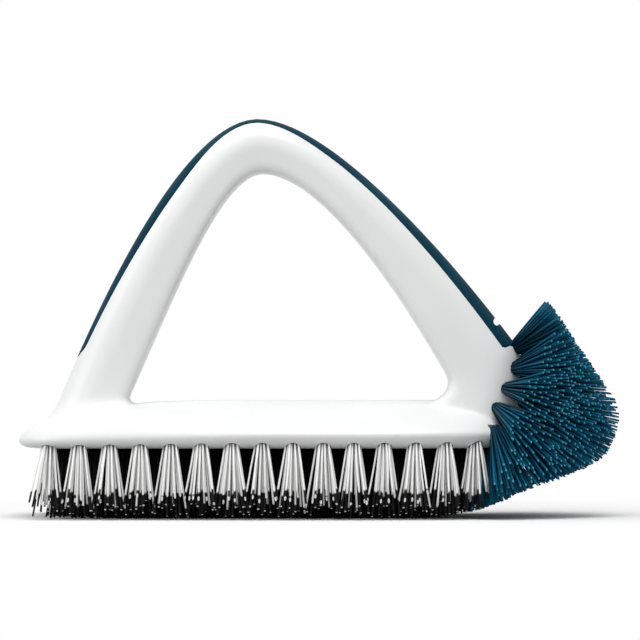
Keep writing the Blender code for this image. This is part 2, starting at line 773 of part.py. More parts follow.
def main():
    clean_scene()
    brush = new_collection("flat_scrub_brush")
    cutters = new_collection("cutters")
    white = new_material("white_moulding", (0.86, 0.87, 0.88), 0.32)
    teal = new_material("teal_grip", (0.003, 0.042, 0.075), 0.5)
    light_bristle = new_material("white_bristle", (0.80, 0.81, 0.81), 0.45)
    dark_bristle = new_material("black_bristle", (0.015, 0.015, 0.017), 0.5)
    teal_bristle = new_material("teal_bristle", (0.004, 0.10, 0.19), 0.42)

    # Block and loop, moulded as one piece
    body = object_from_bmesh("block_and_handle", block_mesh(), brush, white)
    loop = as_cutter(object_from_bmesh("loop_form", loop_mesh(), cutters))
    combine(body, loop, "UNION")
    bpy.context.view_layer.update()
    skin = BVHTree.FromObject(body, bpy.context.evaluated_depsgraph_get())

    # Grip, its recess and its groove
    path = grip_path()
    grip = object_from_bmesh("soft_grip", grip_mesh(path, 0.0, 0.0, GRIP_THICKNESS), brush, teal)
    recess = as_cutter(object_from_bmesh(
        "grip_recess", grip_mesh(path, CLEARANCE, GRIP_THICKNESS, GRIP_THICKNESS + CLEARANCE), cutters))
    combine(body, recess, "DIFFERENCE")
    at = section_at(path, path[-1][1] - GROOVE_SETBACK)
    groove = bmesh.new()
    bmesh.ops.create_cone(groove, cap_ends=True, segments=GROOVE_SIDES, radius1=GROOVE_RADIUS,
                          radius2=GROOVE_RADIUS, depth=2 * LOOP_WIDTH,
                          matrix=Matrix.Rotation(math.pi / 2, 4, "X"))
    groove_cutter = as_cutter(object_from_bmesh("grip_groove", groove, cutters))
    groove_cutter.location = at.outer - at.outward * (GROOVE_DEPTH - GROOVE_RADIUS)
    combine(grip, groove_cutter, "DIFFERENCE")

    # Pocket and its slices of dark bristle
    rear, front, half = pocket_limits()
    pocket = as_cutter(object_from_bmesh(
        "slice_pocket", box_mesh(Vector((rear, -half, UNDERSIDE_Z - POCKET_DEPTH)),
                                 Vector((front, half, UNDERSIDE_Z + POCKET_DEPTH))), cutters))
    combine(body, pocket, "DIFFERENCE")
    row_pitch = (2 * half - CLEARANCE) / INNER_ROWS
    for i, word in enumerate(("left", "centre", "right")):
        middle = -half + CLEARANCE / 2 + row_pitch * (i + 0.5)
        make_strip(f"inner_bristle_slice_{word}", middle, row_pitch - CLEARANCE,
                   rear + CLEARANCE, front - CLEARANCE, dark_bristle, brush)

    # Drilled holes and the tufts in them
    drills = bmesh.new()
    outer_spread = row_spread(outer_pitch(), HOLE_RADIUS / 2)
    for name, (root, axis) in outer_places().items():
        make_tuft(name, root, axis, HOLE_RADIUS, HOLE_DEPTH, ROOT_RECESS, OUTER_STRANDS,
                  outer_spread, light_bristle, brush)
        add_drill(drills, root, axis, HOLE_RADIUS, HOLE_DEPTH, ROOT_RECESS, 0.0)
    for name, (root, axis, spread) in nose_places(skin).items():
        make_tuft(name, root, axis, NOSE_HOLE_RADIUS, NOSE_HOLE_DEPTH, NOSE_ROOT_RECESS, NOSE_STRANDS,
                  spread, teal_bristle, brush)
        add_drill(drills, root, axis, NOSE_HOLE_RADIUS, NOSE_HOLE_DEPTH, NOSE_ROOT_RECESS, spread)
    drill_cutter = as_cutter(object_from_bmesh("tuft_drills", drills, cutters))
    combine(body, drill_cutter, "DIFFERENCE", crossing=True)


main()
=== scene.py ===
# %% [markdown]
# # Flat scrub brush
#
# The real object is a hand brush: one white moulding makes the block and the
# arched loop, a dark teal strip of soft rubber is let into the top of the loop,
# and tufts of stiff filament stand in drilled holes under the block and round
# its nose. The lesson loads the engineering model as a fixed frame, and then
# gives each part the soft edges, the filaments and the finish that the model
# leaves out.

# %% Load the frame
import math
import random

import bmesh
import bpy
import numpy as np
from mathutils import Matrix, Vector
from mathutils.bvhtree import BVHTree


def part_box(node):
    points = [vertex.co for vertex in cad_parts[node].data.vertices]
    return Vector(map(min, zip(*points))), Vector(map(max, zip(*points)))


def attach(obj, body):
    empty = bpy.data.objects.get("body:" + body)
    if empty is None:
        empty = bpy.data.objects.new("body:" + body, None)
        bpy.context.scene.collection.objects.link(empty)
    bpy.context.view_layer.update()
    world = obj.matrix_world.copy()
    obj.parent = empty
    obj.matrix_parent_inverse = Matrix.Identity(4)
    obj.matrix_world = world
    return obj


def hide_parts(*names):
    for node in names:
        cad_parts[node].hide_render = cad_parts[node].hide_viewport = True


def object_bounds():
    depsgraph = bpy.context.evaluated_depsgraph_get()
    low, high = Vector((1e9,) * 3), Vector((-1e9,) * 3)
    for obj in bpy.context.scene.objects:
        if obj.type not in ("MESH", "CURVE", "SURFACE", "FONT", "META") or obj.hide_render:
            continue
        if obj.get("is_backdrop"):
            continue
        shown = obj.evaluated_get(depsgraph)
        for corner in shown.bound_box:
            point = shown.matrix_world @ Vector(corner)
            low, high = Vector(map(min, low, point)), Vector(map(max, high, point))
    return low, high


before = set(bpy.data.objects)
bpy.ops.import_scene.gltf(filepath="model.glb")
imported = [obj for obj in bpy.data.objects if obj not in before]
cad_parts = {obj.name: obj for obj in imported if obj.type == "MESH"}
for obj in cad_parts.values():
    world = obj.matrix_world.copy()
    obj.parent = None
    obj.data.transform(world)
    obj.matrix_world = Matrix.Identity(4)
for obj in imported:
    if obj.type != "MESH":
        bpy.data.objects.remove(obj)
frame_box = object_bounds()
print("parts in the frame:", len(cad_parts))

# %% [markdown]
# ## Sizes
#
# A maker's drawing has each size once. These are the sizes of the moulding, in
# millimetres. They are the ones that the engineering model was made with, so a
# piece made from them lies where its part lies. A few follow the photograph more
# closely: the widest line of the block's edge is a little lower here, and the
# inner edge of the loop and the front end of the grip are squarer.

# %% Sizes of the moulding
MM = 0.001
DEG = math.radians(1.0)

TAIL_X = -90.0 * MM
NOSE_X = 61.0 * MM
HALF_WIDTH = 30.0 * MM
UNDERSIDE_Z = 21.0 * MM
CREST_Z = 35.0 * MM
TAIL_THICKNESS = 5.4 * MM
TAIL_SLOPE_LENGTH = 70.0 * MM
TAIL_CORNER = 18.0 * MM
NOSE_TAPER = 51.0 * MM
EDGE_ROUND = 5.5 * MM
EDGE_RISE = 4.4 * MM
TAIL_EDGE_RISE = 1.9 * MM
APEX_X = TAIL_X + 71.3 * MM
APEX_Z = CREST_Z + 84.2 * MM
APEX_LEAN = 1.4 * MM
LOOP_THICKNESS = 16.3 * MM
LOOP_WIDTH = 25.0 * MM
NOSE_WIDTH = 28.0 * MM
FOOT_FLARE = 5.0 * MM
print("block", round((NOSE_X - TAIL_X) / MM), "mm long and", round(2 * HALF_WIDTH / MM), "mm wide")

# %% [markdown]
# ## A helper that draws a skin through outlines
#
# The block and the loop swell and narrow along their length, which a single
# extrusion can't do. By hand one would draw a circle, shape it, extrude it,
# shape it again, and so on along the piece. The helper does just that: each
# extrusion makes a new ring of points, and the ring is laid on the next outline.

# %% Helper for lofted pieces
def deselect_all():
    if bpy.context.object and bpy.context.object.mode != "OBJECT":
        bpy.ops.object.mode_set(mode="OBJECT")
    bpy.ops.object.select_all(action="DESELECT")


def make_active(piece):
    deselect_all()
    piece.select_set(True)
    bpy.context.view_layer.objects.active = piece


def place_key(point):
    """A point's place, rounded so that two copies of one point compare as equal."""
    return tuple(round(c, 7) for c in point)


def as_stored(ring):
    """The points of an outline as a mesh stores them, in single precision."""
    return [Vector(np.array(point, dtype=np.float32)) for point in ring]


def lay_ring(mesh, before, after):
    """Move the selected ring of points from one outline to the next."""
    cage = bmesh.from_edit_mesh(mesh)
    places = {place_key(old): new for old, new in zip(before, after)}
    for vert in cage.verts:
        if vert.select:
            vert.co = places[place_key(vert.co)]
    bmesh.update_edit_mesh(mesh)


def draw_loft(name, rings):
    """Extrude a filled circle from outline to outline, and close it at both ends."""
    deselect_all()
    bpy.ops.mesh.primitive_circle_add(vertices=len(rings[0]), radius=HALF_WIDTH, fill_type="NGON")
    piece = bpy.context.active_object
    piece.name = name
    start = [v.co.copy() for v in piece.data.vertices]
    bpy.ops.object.mode_set(mode="EDIT")
    bpy.ops.mesh.select_all(action="SELECT")
    lay_ring(piece.data, start, rings[0])
    last = as_stored(rings[0])
    for ring in rings[1:]:
        bpy.ops.mesh.extrude_region_move()
        lay_ring(piece.data, last, ring)
        last = as_stored(ring)
    bpy.ops.mesh.select_all(action="SELECT")
    bpy.ops.mesh.normals_make_consistent(inside=False)
    bpy.ops.object.mode_set(mode="OBJECT")
    print(name, "drawn through", len(rings), "outlines of", len(rings[0]), "points")
    return piece


def apply_modifiers(piece):
    make_active(piece)
    for modifier in list(piece.modifiers):
        bpy.ops.object.modifier_apply(modifier=modifier.name)

# %% [markdown]
# ## Outlines of the hand loop
#
# Seen from the side, the loop is a crooked arch: a steep rear leg, a tight top
# and a long front leg that runs down into the nose. Its outer and inner edges
# are smooth curves with matching ends, and each cross-section spans from one to
# the other. The section is a rounded D: its outer half is a soft crown for the
# palm, and its inner half is squarer, with flat sides that end in a small round.

# %% Side curves of the loop
SLOPE_POWER = 3
CROWN_POWER = 2.5
INNER_POWER = 9.0
INNER_NARROWING = 0.06
# Where the edges of the legs meet the feet: from the tail or the nose, and above the crest
REAR_OUTER_SETBACK = 12.3 * MM
REAR_INNER_SETBACK = 32.7 * MM
REAR_FOOT_RISE = 1.0 * MM
NOSE_SETBACK = 2.2 * MM
NOSE_RISE = 16.3 * MM
FRONT_INNER_SETBACK = 23.2 * MM
FRONT_INNER_RISE = 7.9 * MM
# Slopes of the legs' edges there
REAR_OUTER_SLOPE = 68.0 * DEG
REAR_INNER_SLOPE = 64.6 * DEG
FRONT_OUTER_SLOPE = 53.7 * DEG
FRONT_INNER_SLOPE = 60.0 * DEG
# How far the ends of the feet reach, in flares, and how deep they are sunk into the block
REAR_TOE_REACH = 1.4
REAR_HEEL_REACH = 0.6
FRONT_HEEL_REACH = 1.3
FRONT_TOE_SETBACK = 3.5 * MM
FOOT_SINK = 1.5 * MM
REAR_HEEL_SINK = 3.0 * MM


def bezier(points, t):
    a, b, c, d = points
    s = 1.0 - t
    return a * s ** 3 + b * (3 * s * s * t) + c * (3 * s * t * t) + d * t ** 3


def smooth(t):
    """Eases from 0 to 1, level at both ends."""
    return t * t * (3.0 - 2.0 * t)


def direction(angle):
    return Vector((math.cos(angle), math.sin(angle)))


def tail_slope(x):
    """How far down the slope to the tail a place is: 0 on the level part, 1 at the tail."""
    return min(1.0, max(0.0, (TAIL_X + TAIL_SLOPE_LENGTH - x) / TAIL_SLOPE_LENGTH))


def crest_height(x):
    """Height of the block's crest, which falls away to the thin tail."""
    return CREST_Z - (CREST_Z - UNDERSIDE_Z - TAIL_THICKNESS) * tail_slope(x) ** SLOPE_POWER


def leg_edge(foot, apex, up, pull):
    """A leg's edge, pulled along its slope at the foot and along the level at the top."""
    level = Vector((apex.x - foot.x, 0.0))
    return [foot, foot + up * (pull[0] * (apex.y - foot.y)), apex - level * pull[1], apex]


def foot_edge(end, top, up, pull, ease):
    """A foot's edge, which leaves the block by the pull and eases into the leg's slope."""
    return [end, end + Vector(pull) * FOOT_FLARE, top - up * (ease * FOOT_FLARE), top]


def loop_edges():
    """Outer and inner edge of the rear foot, the rear leg, the front leg and the nose."""
    outer_top = Vector((APEX_X, APEX_Z))
    inner_top = Vector((APEX_X + APEX_LEAN, APEX_Z - LOOP_THICKNESS))
    rear_outer = Vector((TAIL_X + REAR_OUTER_SETBACK, CREST_Z + REAR_FOOT_RISE))
    rear_inner = Vector((TAIL_X + REAR_INNER_SETBACK, CREST_Z + REAR_FOOT_RISE))
    front_outer = Vector((NOSE_X - NOSE_SETBACK, CREST_Z + NOSE_RISE))
    front_inner = Vector((NOSE_X - FRONT_INNER_SETBACK, CREST_Z + FRONT_INNER_RISE))
    rear_outer_up = direction(REAR_OUTER_SLOPE)
    rear_inner_up = direction(REAR_INNER_SLOPE)
    outer_up = direction(math.pi - FRONT_OUTER_SLOPE)
    inner_up = direction(math.pi - FRONT_INNER_SLOPE)
    toe_x = rear_outer.x - REAR_TOE_REACH * FOOT_FLARE
    rear_toe = Vector((toe_x, crest_height(toe_x) - FOOT_SINK))
    rear_heel = Vector((rear_inner.x + REAR_HEEL_REACH * FOOT_FLARE, CREST_Z - REAR_HEEL_SINK))
    front_toe = Vector((NOSE_X - FRONT_TOE_SETBACK, UNDERSIDE_Z + FOOT_SINK))
    front_heel = Vector((front_inner.x - FRONT_HEEL_REACH * FOOT_FLARE, CREST_Z - FOOT_SINK))
    return [
        (foot_edge(rear_toe, rear_outer, rear_outer_up, pull=(0.5, 0.35), ease=0.7),
         foot_edge(rear_heel, rear_inner, rear_inner_up, pull=(-0.25, 0.3), ease=0.3)),
        (leg_edge(rear_outer, outer_top, rear_outer_up, pull=(0.21, 0.41)),
         leg_edge(rear_inner, inner_top, rear_inner_up, pull=(0.37, 0.33))),
        (leg_edge(front_outer, outer_top, outer_up, pull=(0.46, 0.28))[::-1],
         leg_edge(front_inner, inner_top, inner_up, pull=(0.65, 0.27))[::-1]),
        (foot_edge(front_toe, front_outer, outer_up, pull=(1.0, 1.8), ease=1.0)[::-1],
         foot_edge(front_heel, front_inner, inner_up, pull=(1.5, 0.5), ease=0.7)[::-1]),
    ]


EDGES = loop_edges()
# Half the loop's width at the ends of these four stretches
HALF_WIDTHS = (LOOP_WIDTH / 2 + FOOT_FLARE / 2, LOOP_WIDTH / 2 + FOOT_FLARE / 6,
               LOOP_WIDTH / 2, NOSE_WIDTH / 2, NOSE_WIDTH / 2)
print("the loop rises", round((APEX_Z - CREST_Z) / MM, 1), "mm above the block")

# %% Cross-sections of the loop
class Section:
    """One cross-section of the loop: its middle, its outward direction and its half sizes."""

    def __init__(self, stretch, t):
        outer = bezier(EDGES[stretch][0], t)
        inner = bezier(EDGES[stretch][1], t)
        blend = smooth(t)
        before, after = HALF_WIDTHS[stretch:stretch + 2]
        self.half_width = before + (after - before) * blend
        self.outer = Vector((outer.x, 0.0, outer.y))
        self.middle = (self.outer + Vector((inner.x, 0.0, inner.y))) / 2
        self.half_height = (self.outer - self.middle).length
        self.outward = (self.outer - self.middle).normalized()

    def crown(self, y):
        """Height of the crown above the section's middle, y to one side."""
        across = min(1.0, abs(y) / self.half_width)
        return self.half_height * (1.0 - across ** CROWN_POWER) ** (1 / CROWN_POWER)

    def point(self, y, height):
        return self.middle + self.outward * height + Vector((0.0, y, 0.0))

    def ring(self, count):
        points = []
        for i in range(count):
            turn = 2 * math.pi * i / count
            power = CROWN_POWER if 2 * i <= count else INNER_POWER
            across = math.copysign(abs(math.cos(turn)) ** (2 / power), math.cos(turn))
            up = math.copysign(abs(math.sin(turn)) ** (2 / power), math.sin(turn))
            narrow = 1.0 - INNER_NARROWING * max(0.0, -up)
            points.append(self.point(self.half_width * across * narrow, self.half_height * up))
        return points


# How many sections each stretch has, and how many points each section
STRETCH_STEPS = (6, 34, 34, 16)
SECTION_POINTS = 44

sections = []
for stretch, steps in enumerate(STRETCH_STEPS):
    first = 0 if stretch == 0 else 1
    sections += [Section(stretch, i / steps) for i in range(first, steps + 1)]
loop = draw_loft("loop_shape", [section.ring(SECTION_POINTS) for section in sections])

# %% [markdown]
# ## The block
#
# The block is a board about 14 mm thick. Its outline is square at the tail and
# pointed at the nose, its lower edge is rounded, and its top is a low dome that
# thins towards the tail. Each outline below is the plan of the block shrunk
# towards its ridge and laid at the height that the dome has there.

# %% Outlines of the block
TAPER_X = NOSE_X - NOSE_TAPER
TAIL_CORNER_X = TAIL_X + TAIL_CORNER
# How square the tail's corners are, and how full the nose is
TAIL_POWER = 3
NOSE_POWER = 2.6
# How full the dome is and how steeply it meets the edge, each with what the slope adds
DOME_POWER, DOME_POWER_GROWTH = 2.2, 6.0
DOME_ROOT, DOME_ROOT_GROWTH = 1.15, 0.45
# How far the dome's ridge runs into the nose
RIDGE_SHARE = 0.62
TAIL_STEPS = 16
SIDE_STEPS = 24
NOSE_STEPS = 24


def edge_height(x):
    """Height of the widest line of the block's edge."""
    return UNDERSIDE_Z + EDGE_RISE + (TAIL_EDGE_RISE - EDGE_RISE) * tail_slope(x)


def lower_edge_height(x, turn):
    """Height of the rounded lower edge, which turns from the underside to the widest line."""
    return edge_height(x) - (edge_height(x) - UNDERSIDE_Z) * math.cos(turn)


def dome_height(x, share):
    """Height of the dome, a share of the way out from its ridge to its edge."""
    slope = tail_slope(x)
    power = DOME_POWER + DOME_POWER_GROWTH * slope
    rise = max(0.0, 1.0 - share ** power) ** (1 / (DOME_ROOT + DOME_ROOT_GROWTH * slope))
    return edge_height(x) + (crest_height(x) - edge_height(x)) * rise


def half_width(x):
    """Half the block's width at a place along it."""
    tail = (TAIL_CORNER_X - x) / TAIL_CORNER
    nose = (x - TAPER_X) / NOSE_TAPER
    if tail > 0.0:
        return HALF_WIDTH * max(0.0, 1.0 - tail ** TAIL_POWER) ** (1 / TAIL_POWER)
    if nose > 0.0:
        return HALF_WIDTH * math.sqrt(max(0.0, 1.0 - nose ** NOSE_POWER))
    return HALF_WIDTH


def plan_outline():
    """One side of the block's plan, from the tip of the tail to the tip of the nose."""
    turns = [math.pi / 2 * i / TAIL_STEPS for i in range(TAIL_STEPS)]
    tail = [Vector((TAIL_CORNER_X - TAIL_CORNER * math.cos(t) ** (2 / TAIL_POWER),
                    HALF_WIDTH * math.sin(t) ** (2 / TAIL_POWER))) for t in turns]
    side = [Vector((TAIL_CORNER_X + (TAPER_X - TAIL_CORNER_X) * i / SIDE_STEPS, HALF_WIDTH))
            for i in range(SIDE_STEPS + 1)]
    turns = [math.pi / 2 * i / NOSE_STEPS for i in reversed(range(NOSE_STEPS))]
    nose = [Vector((TAPER_X + NOSE_TAPER * math.cos(t) ** (2 / NOSE_POWER), HALF_WIDTH * math.sin(t)))
            for t in turns]
    return tail + side + nose


def ridge_place(x):
    """The place on the ridge that a point of the plan shrinks towards."""
    if x > TAPER_X:
        return TAPER_X + RIDGE_SHARE * (x - TAPER_X)
    return max(x, TAIL_CORNER_X)


def block_ring(outline, share, height, setting):
    """The plan shrunk to a share of its size, at the height that the height function gives."""
    side = []
    for point in outline:
        ridge = ridge_place(point.x)
        x = ridge + share * (point.x - ridge)
        side.append(Vector((x, share * point.y, height(x, setting))))
    return side + [Vector((p.x, -p.y, p.z)) for p in reversed(side[1:-1])]

# %% Draw the block
# Outlines on the flat underside, round the lower edge and on the dome
UNDERSIDE_SHARES = (0.05, 0.4, 0.7)
EDGE_TURNS = (0.0, 15.0, 30.0, 45.0, 60.0, 75.0)
DOME_SHARES = (1.0, 0.99, 0.965, 0.93, 0.88, 0.82, 0.74, 0.64, 0.54, 0.4, 0.28, 0.15, 0.05, 0.002)

outline = plan_outline()
flat_share = 1.0 - EDGE_ROUND / HALF_WIDTH
rings = []
for share in UNDERSIDE_SHARES:
    rings.append(block_ring(outline, share * flat_share, lower_edge_height, 0.0))
for turn in EDGE_TURNS:
    share = flat_share + (1.0 - flat_share) * math.sin(turn * DEG)
    rings.append(block_ring(outline, share, lower_edge_height, turn * DEG))
for share in DOME_SHARES:
    rings.append(block_ring(outline, share, dome_height, share))
block = draw_loft("block_shape", rings)

# %% [markdown]
# ## One moulding out of two shapes
#
# A real moulding has no seam where the loop meets the block: the plastic flows
# from one into the other through a soft fillet. A voxel remesh wraps both
# shapes in one even skin. Smoothing near the feet of the loop turns the hard
# crease there into that fillet, and a light smoothing of the whole skin takes
# out the small steps that the remesh leaves.

# %% Fuse the loop and the block
VOXEL = 0.67 * MM

make_active(block)
loop.select_set(True)
bpy.ops.object.join()
shell = bpy.context.active_object
shell.name = "white_moulding_shell"
remesh = shell.modifiers.new("one_skin", "REMESH")
remesh.mode = "VOXEL"
remesh.voxel_size = VOXEL
apply_modifiers(shell)
print("moulding skin:", len(shell.data.vertices), "points")

# %% Soften the fillets
FILLET_REACH = 4.5 * MM
FILLET_RISE = 1.0 * MM
FILLET_SIDE = 16.0 * MM
REAR_FOOT_END = -50.0 * MM
FRONT_FOOT = (26.0 * MM, 60.0 * MM)


def near_feet(point):
    """How strongly a point is smoothed: most where the loop's feet meet the block."""
    along = point.x < REAR_FOOT_END or FRONT_FOOT[0] < point.x < FRONT_FOOT[1]
    beside = abs(abs(point.y) - LOOP_WIDTH / 2) < FILLET_SIDE
    rise = abs(point.z - (crest_height(point.x) + FILLET_RISE))
    return max(0.0, 1.0 - rise / FILLET_REACH) if along and beside else 0.0


fillet = shell.vertex_groups.new(name="fillet")
for vert in shell.data.vertices:
    weight = near_feet(vert.co)
    if weight > 0.0:
        fillet.add([vert.index], weight, "REPLACE")
soften = shell.modifiers.new("soften_feet", "SMOOTH")
soften.factor = 0.5
soften.iterations = 3
soften.vertex_group = "fillet"
settle = shell.modifiers.new("settle", "SMOOTH")
settle.factor = 0.5
settle.iterations = 4
apply_modifiers(shell)
skin = BVHTree.FromObject(shell, bpy.context.evaluated_depsgraph_get())
print("moulding box:", [round(d / MM, 1) for d in shell.dimensions])

# %% [markdown]
# ## The soft grip
#
# The grip is a crescent of dark teal rubber, flush with the crown of the loop.
# How far its edge lies below the crown changes along it, and is most at the
# front. Its rear end is rounded, its front end is nearly square, and a small
# groove crosses it near the front. It seats in a recess that is a little larger
# all round, which leaves the fine dark line that shows where two materials meet.

# %% Shape of the grip
GRIP_THICKNESS = 2.0 * MM
GRIP_REAR_ROUND = 5.0 * MM
GRIP_FRONT_ROUND = 1.2 * MM
# Where the strip starts along the crown, and how far before the crown's end it stops
GRIP_START = 12.7 * MM
GRIP_END_SETBACK = 0.4 * MM
# How far its long edges lie below the crown, at shares of the crown's length
GRIP_EDGE_DROPS = ((0.0, 1.2 * MM), (0.34, 2.4 * MM), (0.49, 1.2 * MM), (0.62, 2.0 * MM),
                   (1.0, 3.7 * MM))
SEAT_GAP = 0.22 * MM
SEAT_DEPTH_GAP = 0.3 * MM
GRIP_PROUD = 0.05 * MM
GRIP_BLUNT = 0.03
CUTTER_RISE = 3.0 * MM
PATH_STEPS = 240
# Outlines at each end and between the ends, and half the points across the strip
END_STEPS = 9
GRIP_STEPS = 70
ACROSS_STEPS = 10

path = [(Section(1, 0.0), 0.0)]
for stretch in (1, 2):
    for i in range(1, PATH_STEPS + 1):
        section = Section(stretch, i / PATH_STEPS)
        path.append((section, path[-1][1] + (section.outer - path[-1][0].outer).length))
grip_length = path[-1][1]


def section_at(distance):
    """The loop's section at a distance along the crown."""
    return min(path, key=lambda entry: abs(entry[1] - distance))[0]


def grip_half_width(section, along):
    """Half the strip's width where its edge lies as far below the crown as it should."""
    spans = [span for span in zip(GRIP_EDGE_DROPS, GRIP_EDGE_DROPS[1:]) if span[0][0] <= along]
    before, after = spans[-1]
    drop = before[1] + (after[1] - before[1]) * smooth((along - before[0]) / (after[0] - before[0]))
    level = 1.0 - drop / section.half_height
    return section.half_width * (1.0 - level ** CROWN_POWER) ** (1 / CROWN_POWER)


def end_steps(length):
    """Distances from the strip's blunt end, close together where its outline turns."""
    turns = [math.pi / 2 * i / END_STEPS for i in range(END_STEPS + 1)]
    return [(GRIP_BLUNT + (1.0 - GRIP_BLUNT) * (1.0 - math.cos(turn))) * length for turn in turns]


def grip_rings(margin, skin_rise, floor):
    """Outlines of the strip, grown by margin, from floor under the crown to skin_rise above it."""
    start = GRIP_START - margin
    end = grip_length - GRIP_END_SETBACK + margin
    rear = [start + step for step in end_steps(GRIP_REAR_ROUND)]
    front = [end - step for step in reversed(end_steps(GRIP_FRONT_ROUND))]
    between = [rear[-1] + (front[0] - rear[-1]) * i / GRIP_STEPS for i in range(1, GRIP_STEPS)]
    rings = []
    for distance in rear + between + front:
        section = section_at(distance)
        inside = min(1.0, (distance - start) / GRIP_REAR_ROUND, (end - distance) / GRIP_FRONT_ROUND)
        half = grip_half_width(section, min(1.0, distance / grip_length)) + margin
        half *= math.sqrt(1.0 - (1.0 - inside) ** 2)
        ys = [half * math.sin(math.pi / 2 * (i / ACROSS_STEPS - 1.0))
              for i in range(2 * ACROSS_STEPS + 1)]
        top = [section.point(y, section.crown(y) + skin_rise) for y in ys]
        bottom = [section.point(y, section.crown(y) - floor) for y in reversed(ys)]
        rings.append(top + bottom)
    return rings


grip = draw_loft("grip_strip", grip_rings(0.0, GRIP_PROUD, GRIP_THICKNESS))
recess = draw_loft("grip_recess_cutter",
                   grip_rings(SEAT_GAP, CUTTER_RISE, GRIP_THICKNESS + SEAT_DEPTH_GAP))

# %% Cut the groove and round the grip's edges
GROOVE_SETBACK = 9.0 * MM
GROOVE_RADIUS = 1.2 * MM
GROOVE_SINK = 0.3 * MM
GROOVE_WIDTH = 50.0 * MM


def cut(piece, cutter, crossing=False):
    """Take the cutter's shape out of the piece, and delete the cutter."""
    modifier = piece.modifiers.new("cut", "BOOLEAN")
    modifier.operation = "DIFFERENCE"
    modifier.solver = "EXACT"
    modifier.use_self = crossing
    modifier.object = cutter
    apply_modifiers(piece)
    bpy.data.objects.remove(cutter, do_unlink=True)


groove_at = section_at(grip_length - GROOVE_SETBACK)
deselect_all()
bpy.ops.mesh.primitive_cylinder_add(
    vertices=20, radius=GROOVE_RADIUS, depth=GROOVE_WIDTH, rotation=(math.pi / 2, 0, 0),
    location=groove_at.outer - groove_at.outward * GROOVE_SINK)
cut(grip, bpy.context.active_object)
rounding = grip.modifiers.new("soft_edge", "BEVEL")
rounding.width = 0.35 * MM
rounding.segments = 2
rounding.angle_limit = 50 * DEG
apply_modifiers(grip)
cut(shell, recess)
print("grip strip:", round(grip_length / MM), "mm along the crown,", len(grip.data.polygons), "faces")

# %% [markdown]
# ## Where the tufts stand
#
# A tufting machine drills a hole for each tuft and staples a folded bundle of
# filament into it. The outer rows follow the edge of the block, the inner rows
# fill the middle, and the nose has its holes on curved columns that fan out.
# The rows have the places of the engineering model. The nose's holes are found
# on the skin itself, and the nose tufts point a few degrees lower and further
# out than in the engineering model, as the photograph shows.

# %% Places of the tufts
OUTER_TUFTS = 15
ROW_PITCH = 9.0 * MM
OUTER_TILT = 12.0 * DEG
OUTER_SETBACK = 10.0 * MM
OUTER_INSET = 3.0 * MM
FIRST_TUFT_LEAN = 0.05
# Steps of the tufts up each column; those under the nose also have a distance from its axis
SIDE_COLUMN = (0.9, 2.0, 3.0, 4.0, 5.0)
BETWEEN_COLUMN = (1.5, 2.5, 3.45)
MIDDLE_COLUMN = (0.9, 2.4, 4.1)
UNDER_TUFTS = ((1.0, 0.0, 14.0 * MM), (0.5, 0.3, 10.0 * MM))
FAN_PITCH = 6.02 * MM
FAN_AXIS_SETBACK = 14.5 * MM
FAN_BASE_DROP = 0.6 * MM
# How the angles change up a column, in degrees: a start, a slope and a bend
FAN_AZIMUTH = (77.0, -4.0, -1.2)
FAN_TILT = (-81.0, 28.0, -1.15)
# Share of its azimuth that a tuft's direction keeps, and how much more at the sides
FAN_TURN = 0.70
FAN_SIDE_TURN = 0.10


def up_column(angles, step):
    """An angle in degrees at a step up a column."""
    start, slope, bend = angles
    return start + slope * step + bend * step ** 2


outer_tufts = {}
for side, word in ((-1, "left"), (1, "right")):
    for i in range(OUTER_TUFTS):
        x = TAIL_X + OUTER_SETBACK + ROW_PITCH * i
        root = Vector((x, side * (half_width(x) - OUTER_INSET), UNDERSIDE_Z))
        back = FIRST_TUFT_LEAN if i == 0 else 0.0
        axis = Vector((-back, side * math.tan(OUTER_TILT), -1.0)).normalized()
        outer_tufts[f"outer_tuft_{word}_{i + 1:02d}"] = (root, axis)

paired = [(1.0, step, None) for step in SIDE_COLUMN]
paired += [(0.5, step, None) for step in BETWEEN_COLUMN]
paired += UNDER_TUFTS
fan = [(sign * share, step, reach) for share, step, reach in paired for sign in (-1, 1)]
fan += [(0.0, step, None) for step in MIDDLE_COLUMN]
nose_tufts = {}
for number, (share, step, reach) in enumerate(fan, 1):
    azimuth = share * up_column(FAN_AZIMUTH, step) * DEG
    tilt = up_column(FAN_TILT, step) * DEG
    outward = Vector((math.cos(azimuth), math.sin(azimuth), 0.0))
    root = Vector((NOSE_X - FAN_AXIS_SETBACK, 0.0, UNDERSIDE_Z - FAN_BASE_DROP + step * FAN_PITCH))
    if reach:
        root += outward * reach
        root.z = UNDERSIDE_Z
    else:
        root = skin.ray_cast(root, outward)[0]
    turned = azimuth * (FAN_TURN + FAN_SIDE_TURN * abs(share))
    level = math.cos(tilt)
    axis = Vector((level * math.cos(turned), level * math.sin(turned), math.sin(tilt)))
    nose_tufts[f"nose_tuft_{number:02d}"] = (root, axis)
print(len(outer_tufts), "outer tufts and", len(nose_tufts), "nose tufts")

# %% Drill the holes
HOLE_RADIUS = 2.25 * MM
HOLE_DEPTH = 4.2 * MM
NOSE_HOLE_RADIUS = 1.85 * MM
NOSE_HOLE_DEPTH = 2.9 * MM
DRILL_OVERRUN = 8.0 * MM


def add_drill(root, axis, radius, depth):
    """A drill that reaches depth into the moulding and stands out of it by the overrun."""
    bpy.ops.mesh.primitive_cylinder_add(
        vertices=24, radius=radius, depth=depth + DRILL_OVERRUN,
        location=root + axis * ((DRILL_OVERRUN - depth) / 2),
        rotation=axis.to_track_quat("Z", "Y").to_euler())
    return bpy.context.active_object


